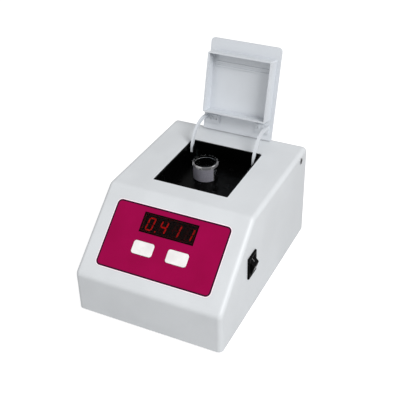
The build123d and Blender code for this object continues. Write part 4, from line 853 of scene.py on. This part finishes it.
def crossed_head(tree, given):
    """The domed head with a cross cut into its top."""
    reach = times(tree, given["Head Radius"], CROSS_REACH)
    deep = times(tree, given["Cross Depth"], 2.0)
    wide = given["Cross Width"]
    cut = tree.nodes.new("GeometryNodeMeshBoolean")
    cut.operation = "DIFFERENCE"
    tree.links.new(domed_head(tree, given), cut.inputs["Mesh 1"])
    for x, y in ((reach, wide), (wide, reach)):
        size = add_node(tree, "ShaderNodeCombineXYZ", {"X": x, "Y": y, "Z": deep})
        bar = add_node(tree, "GeometryNodeMeshCube", {"Size": size.outputs["Vector"]})
        raised = lifted(tree, bar.outputs["Mesh"], given["Head Height"])
        tree.links.new(raised, cut.inputs["Mesh 2"])
    return cut.outputs["Mesh"]


def screw_recipe():
    """A domed head with a cross, on a shank, at every point of the mesh."""
    sizes = dict.fromkeys(SCREW_SIZES + CROSS_SIZES, "length")
    tree, given = new_recipe("pan_head_screws", {**sizes, "Finish": "finish"})
    inputs = {
        "Vertices": SHANK_SIDES,
        "Radius": given["Shank Radius"],
        "Depth": given["Shank Length"],
    }
    shank = add_node(tree, "GeometryNodeMeshCylinder", inputs).outputs["Mesh"]
    lowered = lifted(tree, shank, times(tree, given["Shank Length"], -0.5))
    whole = tree.nodes.new("GeometryNodeJoinGeometry")
    tree.links.new(lowered, whole.inputs["Geometry"])
    tree.links.new(crossed_head(tree, given), whole.inputs["Geometry"])
    stored = "GeometryNodeInputNamedAttribute"
    axis = add_node(tree, stored, {"Name": "axis"}, data_type="FLOAT_VECTOR")
    inputs = {"Vector": axis.outputs["Attribute"]}
    facing = add_node(tree, "FunctionNodeAlignRotationToVector", inputs, axis="Z")
    inputs = {
        "Points": given["Shape"],
        "Instance": whole.outputs["Geometry"],
        "Rotation": facing.outputs["Rotation"],
    }
    copies = add_node(tree, "GeometryNodeInstanceOnPoints", inputs)
    end_recipe(tree, copies.outputs["Instances"], given["Finish"])
    return tree


screws = screw_recipe()
print("screw recipe nodes", len(screws.nodes))

# %% [markdown]
# The points, axes and sizes are measured on the CAD screws. A CAD solid arrives as loose
# triangles, so a copy of it is merged before its separate screws can be told apart: each
# island of joined vertices is one. They are found in the mesh's own order, so that every
# run makes the same screws. The vertices of one screw spread most along its axis, and the
# widest of them are the rim of its head.

# %% Measure the CAD screws
MERGE_DISTANCE = 0.002 * MM
RIM_SHARE = 0.98
SEAT_MARGIN = 0.1 * MM


def islands(node):
    """The vertices of each separate solid of a CAD node."""
    copy = bmesh.new()
    copy.from_mesh(frame["nodes"][node].data)
    bmesh.ops.remove_doubles(copy, verts=copy.verts, dist=MERGE_DISTANCE)
    copy.verts.index_update()
    reached = set()
    found = []
    for start in copy.verts:
        if start.index in reached:
            continue
        reached.add(start.index)
        queue = [start]
        island = []
        while queue:
            vertex = queue.pop()
            island.append(tuple(vertex.co))
            for edge in vertex.link_edges:
                other = edge.other_vert(vertex)
                if other.index not in reached:
                    reached.add(other.index)
                    queue.append(other)
        found.append(np.array(island))
    copy.free()
    return found


def measure_screw(points):
    """Where a screw's head sits, which way it faces, and its sizes."""
    centre = (points.min(0) + points.max(0)) / 2
    axis = np.linalg.svd(points - points.mean(0), full_matrices=False)[2][0]
    height = (points - centre) @ axis
    radius = np.linalg.norm(points - centre - np.outer(height, axis), axis=1)
    rim = radius > radius.max() * RIM_SHARE
    if height[rim].mean() < 0:
        axis, height = -axis, -height
    seat = height[rim].min()
    shank = radius[height < seat - SEAT_MARGIN].max()
    sizes = (radius.max(), height.max() - seat, shank, seat - height.min())
    return centre + axis * seat, axis, dict(zip(SCREW_SIZES, map(float, sizes)))


sample = measure_screw(islands("base_screws")[0])[2]
print({name: round(size / MM, 2) for name, size in sample.items()})

# %% [markdown]
# One run of the tree makes all the screws of one CAD node. They ride on the body that those
# screws belong to, and stand for the plain CAD ones.

# %% Make the screws
CROSS_WIDTH_SHARE = 0.28
CROSS_DEPTH_SHARE = 0.62
SCREW_BODIES = {
    "base_screws": "housing",
    "liner_screws": "housing",
    "cell_holder_screws": "housing",
    "display_board_screws": "housing",
    "main_board_screws": "housing",
    "optics_screws": "housing",
    "arm_screws": "lid",
}


def dress_screws(node, body):
    """Replaces a CAD node of screws with domed, cross recessed ones."""
    seats, axes, measured = zip(*(measure_screw(points) for points in islands(node)))
    mesh = bpy.data.meshes.new(node + "_points")
    mesh.from_pydata([tuple(seat) for seat in seats], [], [])
    stored = mesh.attributes.new("axis", "FLOAT_VECTOR", "POINT")
    for index, axis in enumerate(axes):
        stored.data[index].vector = tuple(axis)
    sizes = dict(measured[0])
    sizes["Cross Width"] = sizes["Head Radius"] * CROSS_WIDTH_SHARE
    sizes["Cross Depth"] = sizes["Head Height"] * CROSS_DEPTH_SHARE
    slot = slot_of[node]
    piece = run_recipe(node + "_crossed", mesh, screws, sizes, finishes[slot])
    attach(piece, body)
    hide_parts(node)
    return len(seats)


print("screws in all", sum(dress_screws(n, b) for n, b in SCREW_BODIES.items()))

# %% [markdown]
# A moulded opening never ends in a knife edge: its rim has a small radius that catches the
# light, and it shows as a thin bright line round the black chamber. A second tree draws a
# round bead along any path. The path here is the opening's own outline, sharp in front and
# rounded at the rear.

# %% Bead recipe and the opening's rim
OPENING_HALF_WIDTH = 39.3 * MM
OPENING_FRONT = 92.2 * MM
OPENING_REAR = 178.5 * MM
OPENING_REAR_RADIUS = 4.5 * MM
OPENING_FRONT_RADIUS = 0.8 * MM
RIM_RADIUS = 0.8 * MM
RIM_INSET = RIM_RADIUS * 0.75
RIM_SIDES = 12
CORNER_STEPS = 8


def bead_recipe():
    """A round bead along the lines of the mesh."""
    sizes = {"Radius": "length", "Sides": "count", "Finish": "finish"}
    tree, given = new_recipe("bead_along_path", sizes)
    path = add_node(tree, "GeometryNodeMeshToCurve", {"Mesh": given["Shape"]})
    inputs = {"Resolution": given["Sides"], "Radius": given["Radius"]}
    ring = add_node(tree, "GeometryNodeCurvePrimitiveCircle", inputs)
    inputs = {
        "Curve": path.outputs["Curve"],
        "Profile Curve": ring.outputs["Curve"],
        "Fill Caps": True,
    }
    tube = add_node(tree, "GeometryNodeCurveToMesh", inputs)
    end_recipe(tree, tube.outputs["Mesh"], given["Finish"])
    return tree


def rounded_path(corners, radii):
    """Points round a closed outline whose corners are rounded."""
    points = []
    count = len(corners)
    for index, corner in enumerate(corners):
        here = Vector(corner)
        back = (Vector(corners[index - 1]) - here).normalized()
        onward = (Vector(corners[(index + 1) % count]) - here).normalized()
        half_angle = back.angle(onward) / 2
        setback = radii[index] / math.tan(half_angle)
        middle = here + (back + onward).normalized() * (radii[index] / math.sin(half_angle))
        first = here + back * setback - middle
        last = here + onward * setback - middle
        for step in range(CORNER_STEPS + 1):
            arm = first.slerp(last, step / CORNER_STEPS).normalized() * radii[index]
            points.append(middle + arm)
    return points


def line_mesh(name, points, closed=True):
    """A mesh of edges through points."""
    mesh = bpy.data.meshes.new(name)
    edges = [(i, i + 1) for i in range(len(points) - 1)]
    if closed:
        edges.append((len(points) - 1, 0))
    mesh.from_pydata([tuple(p) for p in points], edges, [])
    return mesh


bead = bead_recipe()
rim_z = top_z - RIM_INSET
rim_side = OPENING_HALF_WIDTH + RIM_INSET
rim_front = front_y + OPENING_FRONT - RIM_INSET
rim_rear = front_y + OPENING_REAR + RIM_INSET
rim_corners = [
    (middle_x - rim_side, rim_front, rim_z),
    (middle_x + rim_side, rim_front, rim_z),
    (middle_x + rim_side, rim_rear, rim_z),
    (middle_x - rim_side, rim_rear, rim_z),
]
rim_radii = [OPENING_FRONT_RADIUS] * 2 + [OPENING_REAR_RADIUS] * 2
rim_path = line_mesh("opening_rim_path", rounded_path(rim_corners, rim_radii))
rim_sizes = {"Radius": RIM_RADIUS, "Sides": RIM_SIDES}
rim_finish = finishes["housing_plastic"]
opening_rim = run_recipe("opening_rim", rim_path, bead, rim_sizes, rim_finish)
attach(opening_rim, "housing")

# %% [markdown]
# Water climbs the glass a little, so its surface is a shallow bowl with a raised edge. The
# CAD water is a plain cylinder. Turning a profile about the cell's axis gives the real
# shape: bottom, side, meniscus and flat middle, closed at both poles.

# %% Sample water with its meniscus
MENISCUS_RISE = 1.1 * MM
MENISCUS_REACH = 2.6 * MM
MENISCUS_POWER = 2.5
MENISCUS_STEPS = 8
WATER_GAP = 0.02 * MM
FLOOR_RING_SHARE = 0.5
TOP_RING_SHARE = 0.4
SIDE_RING_HEIGHT = 10 * MM
TURN_STEPS = 64
water_low, water_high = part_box("water_sample")


def turned_solid(name, profile, centre_x, centre_y, finish):
    """A closed solid from a profile of radius and height, turned about an upright axis."""
    shape = bmesh.new()
    rings = []
    for radius, height in profile:
        if radius <= 0:
            rings.append([shape.verts.new((centre_x, centre_y, height))])
            continue
        ring = []
        for step in range(TURN_STEPS):
            angle = 2 * math.pi * step / TURN_STEPS
            x = centre_x + radius * math.cos(angle)
            y = centre_y + radius * math.sin(angle)
            ring.append(shape.verts.new((x, y, height)))
        rings.append(ring)
    for lower, upper in zip(rings, rings[1:]):
        for step in range(TURN_STEPS):
            following = (step + 1) % TURN_STEPS
            corners = [lower[step % len(lower)], lower[following % len(lower)]]
            corners += [upper[following % len(upper)], upper[step % len(upper)]]
            shape.faces.new(list(dict.fromkeys(corners)))
    bmesh.ops.recalc_face_normals(shape, faces=shape.faces)
    mesh = bpy.data.meshes.new(name)
    shape.to_mesh(mesh)
    shape.free()
    return place_piece(name, mesh, finish)


water_x = (water_low.x + water_high.x) / 2
water_y = (water_low.y + water_high.y) / 2
water_radius = (water_high.x - water_low.x) / 2 - WATER_GAP
floor_z = water_low.z + WATER_GAP
profile = [
    (0.0, floor_z),
    (water_radius * FLOOR_RING_SHARE, floor_z),
    (water_radius, floor_z),
    (water_radius, floor_z + SIDE_RING_HEIGHT),
    (water_radius, water_high.z),
]
for step in range(MENISCUS_STEPS + 1):
    share = step / MENISCUS_STEPS
    sink = MENISCUS_RISE * (1 - (1 - share) ** MENISCUS_POWER)
    profile.append((water_radius - MENISCUS_REACH * share, water_high.z - sink))
still_z = profile[-1][1]
profile += [(water_radius * TOP_RING_SHARE, still_z), (0.0, still_z)]
water = turned_solid("water_with_meniscus", profile, water_x, water_y, finishes["water"])
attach(water, "cell")
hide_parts("water_sample")

# %% [markdown]
# A rocker switch carries two plain marks, a ring for off and a bar for on. They are printed
# on its two faces. Each mark is a thin bead, so the bead tree draws them, half sunk in the
# plane of the face that it belongs to. The upper half is the one that is pressed in here.

# %% Rocker marks
ROCKER_TILT = math.radians(-12.0)
RIDGE_RISE = 5.8 * MM
END_RISE = 1.2 * MM
ROCKER_HALF_HEIGHT = 8.0 * MM
PIVOT_DEPTH = 1.5 * MM
MARK_SHIFT = 0.6 * MM
MARK_LIFT = 0.02 * MM
MARK_WIDTH = 0.35 * MM
MARK_SIDES = 8
RING_HALF_WIDTH = 1.5 * MM
RING_HALF_HEIGHT = 2.0 * MM
RING_STEPS = 32
BAR_HALF_HEIGHT = 1.8 * MM
pivot = hinges["power_rocker"]
print("rocker pivot in mm", [round(c / MM, 1) for c in pivot])


def rocker_face(side):
    """Middle, up direction and outward normal of the rocker's upper or lower face."""
    turned = Matrix.Rotation(ROCKER_TILT, 3, "Y")
    ridge = Vector((RIDGE_RISE + PIVOT_DEPTH, 0, 0))
    end = Vector((END_RISE + PIVOT_DEPTH, 0, side * ROCKER_HALF_HEIGHT))
    rise = (end - ridge).normalized()
    normal = rise.cross(Vector((0, side, 0))).normalized()
    if normal.x < 0:
        normal = -normal
    middle = (ridge + end) / 2 + rise * MARK_SHIFT
    return pivot + turned @ middle, turned @ rise, turned @ normal


def printed_mark(name, side, outline, closed):
    """A mark on one face of the rocker, from its outline in the face's own plane."""
    middle, rise, normal = rocker_face(side)
    middle = middle + normal * MARK_LIFT
    points = [middle + Vector((0, 1, 0)) * u + rise * v for u, v in outline]
    path = line_mesh(name + "_path", points, closed)
    sizes = {"Radius": MARK_WIDTH / 2, "Sides": MARK_SIDES}
    return run_recipe(name, path, bead, sizes, finishes["mark_print"])


def printed_white(name):
    """Slightly worn pale print."""
    tree, shader, place = start_finish(name, rough=0.5)
    wear = ramp_up(tree, noise(tree, place, size=0.8 * MM), (0.3, 0.6))
    colour = mix_colours(tree, wear, linear(120, 120, 122), linear(190, 190, 192))
    set_inputs(tree, shader, {"Base Color": colour})
    roughen(tree, shader, wear, depth=0.01 * MM)


printed_white("mark_print")
ring_angles = [2 * math.pi * i / RING_STEPS for i in range(RING_STEPS)]
ring = [(RING_HALF_WIDTH * math.cos(a), RING_HALF_HEIGHT * math.sin(a)) for a in ring_angles]
bar = [(0, -BAR_HALF_HEIGHT), (0, BAR_HALF_HEIGHT)]
off_mark = printed_mark("off_mark", -1, ring, closed=True)
on_mark = printed_mark("on_mark", 1, bar, closed=False)
for mark in (off_mark, on_mark):
    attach(mark, "rocker")

# %% [markdown]
# The stage is a plain pale floor under a soft studio light. The camera sees a white
# background, while the light that falls on the object is weaker than that white. The floor
# glows for the camera only, so it reads as white paper and still keeps the contact shadow.
# It lies a hair below the feet, so that no two faces share a plane.

# %% Floor
FLOOR_HALF = 6.0
FLOOR_DROP = 0.2 * MM
FLOOR_GLOW = 0.75
FLOOR_CLOUD = 0.4
FLOOR_SIGNS = [(-1, -1), (1, -1), (1, 1), (-1, 1)]
floor_mesh = bpy.data.meshes.new("floor")
floor_corners = [(x * FLOOR_HALF, y * FLOOR_HALF, 0) for x, y in FLOOR_SIGNS]
floor_mesh.from_pydata(floor_corners, [], [(0, 1, 2, 3)])
floor = add_object("floor", floor_mesh)
floor.location.z = -FLOOR_DROP


def floor_paper(name):
    """Pale paper that also glows a little, but only for the camera."""
    tree, shader, place = start_finish(name, rough=0.9, specular=0.1)
    paper = ramp_up(tree, noise(tree, place, FLOOR_CLOUD), WIDE)
    colour = mix_colours(tree, paper, linear(186, 186, 186), linear(190, 190, 190))
    rays = add_node(tree, "ShaderNodeLightPath").outputs
    glow = times(tree, rays["Is Camera Ray"], FLOOR_GLOW)
    inputs = {"Base Color": colour, "Emission Color": grey(1.0), "Emission Strength": glow}
    set_inputs(tree, shader, inputs)


floor_paper("floor_paper")
floor_mesh.materials.append(finishes["floor_paper"])
floor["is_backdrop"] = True
print("floor ready")

# %% [markdown]
# One broad lamp in front, to the right and above leaves the front face a little darker than
# the top, as in the photograph, and a weak one on the left fills the shade. The colours of
# the finishes were matched under the plain Standard view, so it is set here.

# %% Light
WORLD_LEVEL = 0.53
LAMP_AIM = Vector((0, 0, 0.08))
LAMP_SIZE = 0.8
KEY_LAMP_PLACE = Vector((1.15, -0.45, 1.15))
KEY_LAMP_POWER = 20.0
FILL_LAMP_PLACE = Vector((-0.5, -1.2, 0.35))
FILL_LAMP_POWER = 2.5


def studio_world(strength):
    """White to the camera, and a softer light on everything else."""
    world = bpy.data.worlds.new("studio")
    bpy.context.scene.world = world
    world.use_nodes = True
    tree = world.node_tree
    rays = add_node(tree, "ShaderNodeLightPath").outputs
    level = spread(tree, rays["Is Camera Ray"], 0.0, 1.0, strength, 1.0)
    set_inputs(tree, tree.nodes["Background"], {"Color": grey(1.0), "Strength": level})


def lamp(name, place, power):
    """A broad soft lamp that points at the object."""
    data = bpy.data.lights.new(name, "AREA")
    data.size = LAMP_SIZE
    data.energy = power
    light = add_object(name, data)
    light.location = place
    light.rotation_euler = (LAMP_AIM - place).to_track_quat("-Z", "Y").to_euler()


studio_world(WORLD_LEVEL)
lamp("key_lamp", KEY_LAMP_PLACE, KEY_LAMP_POWER)
lamp("fill_lamp", FILL_LAMP_PLACE, FILL_LAMP_POWER)
bpy.context.scene.view_settings.view_transform = "Standard"
print("light ready")

# %% Finish
shown_box = [list(corner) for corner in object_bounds()]
growth = [
    round(max(cad_box[0][i] - shown_box[0][i], shown_box[1][i] - cad_box[1][i]) / MM, 2)
    for i in range(3)
]
print("grown past the solids in mm", growth)
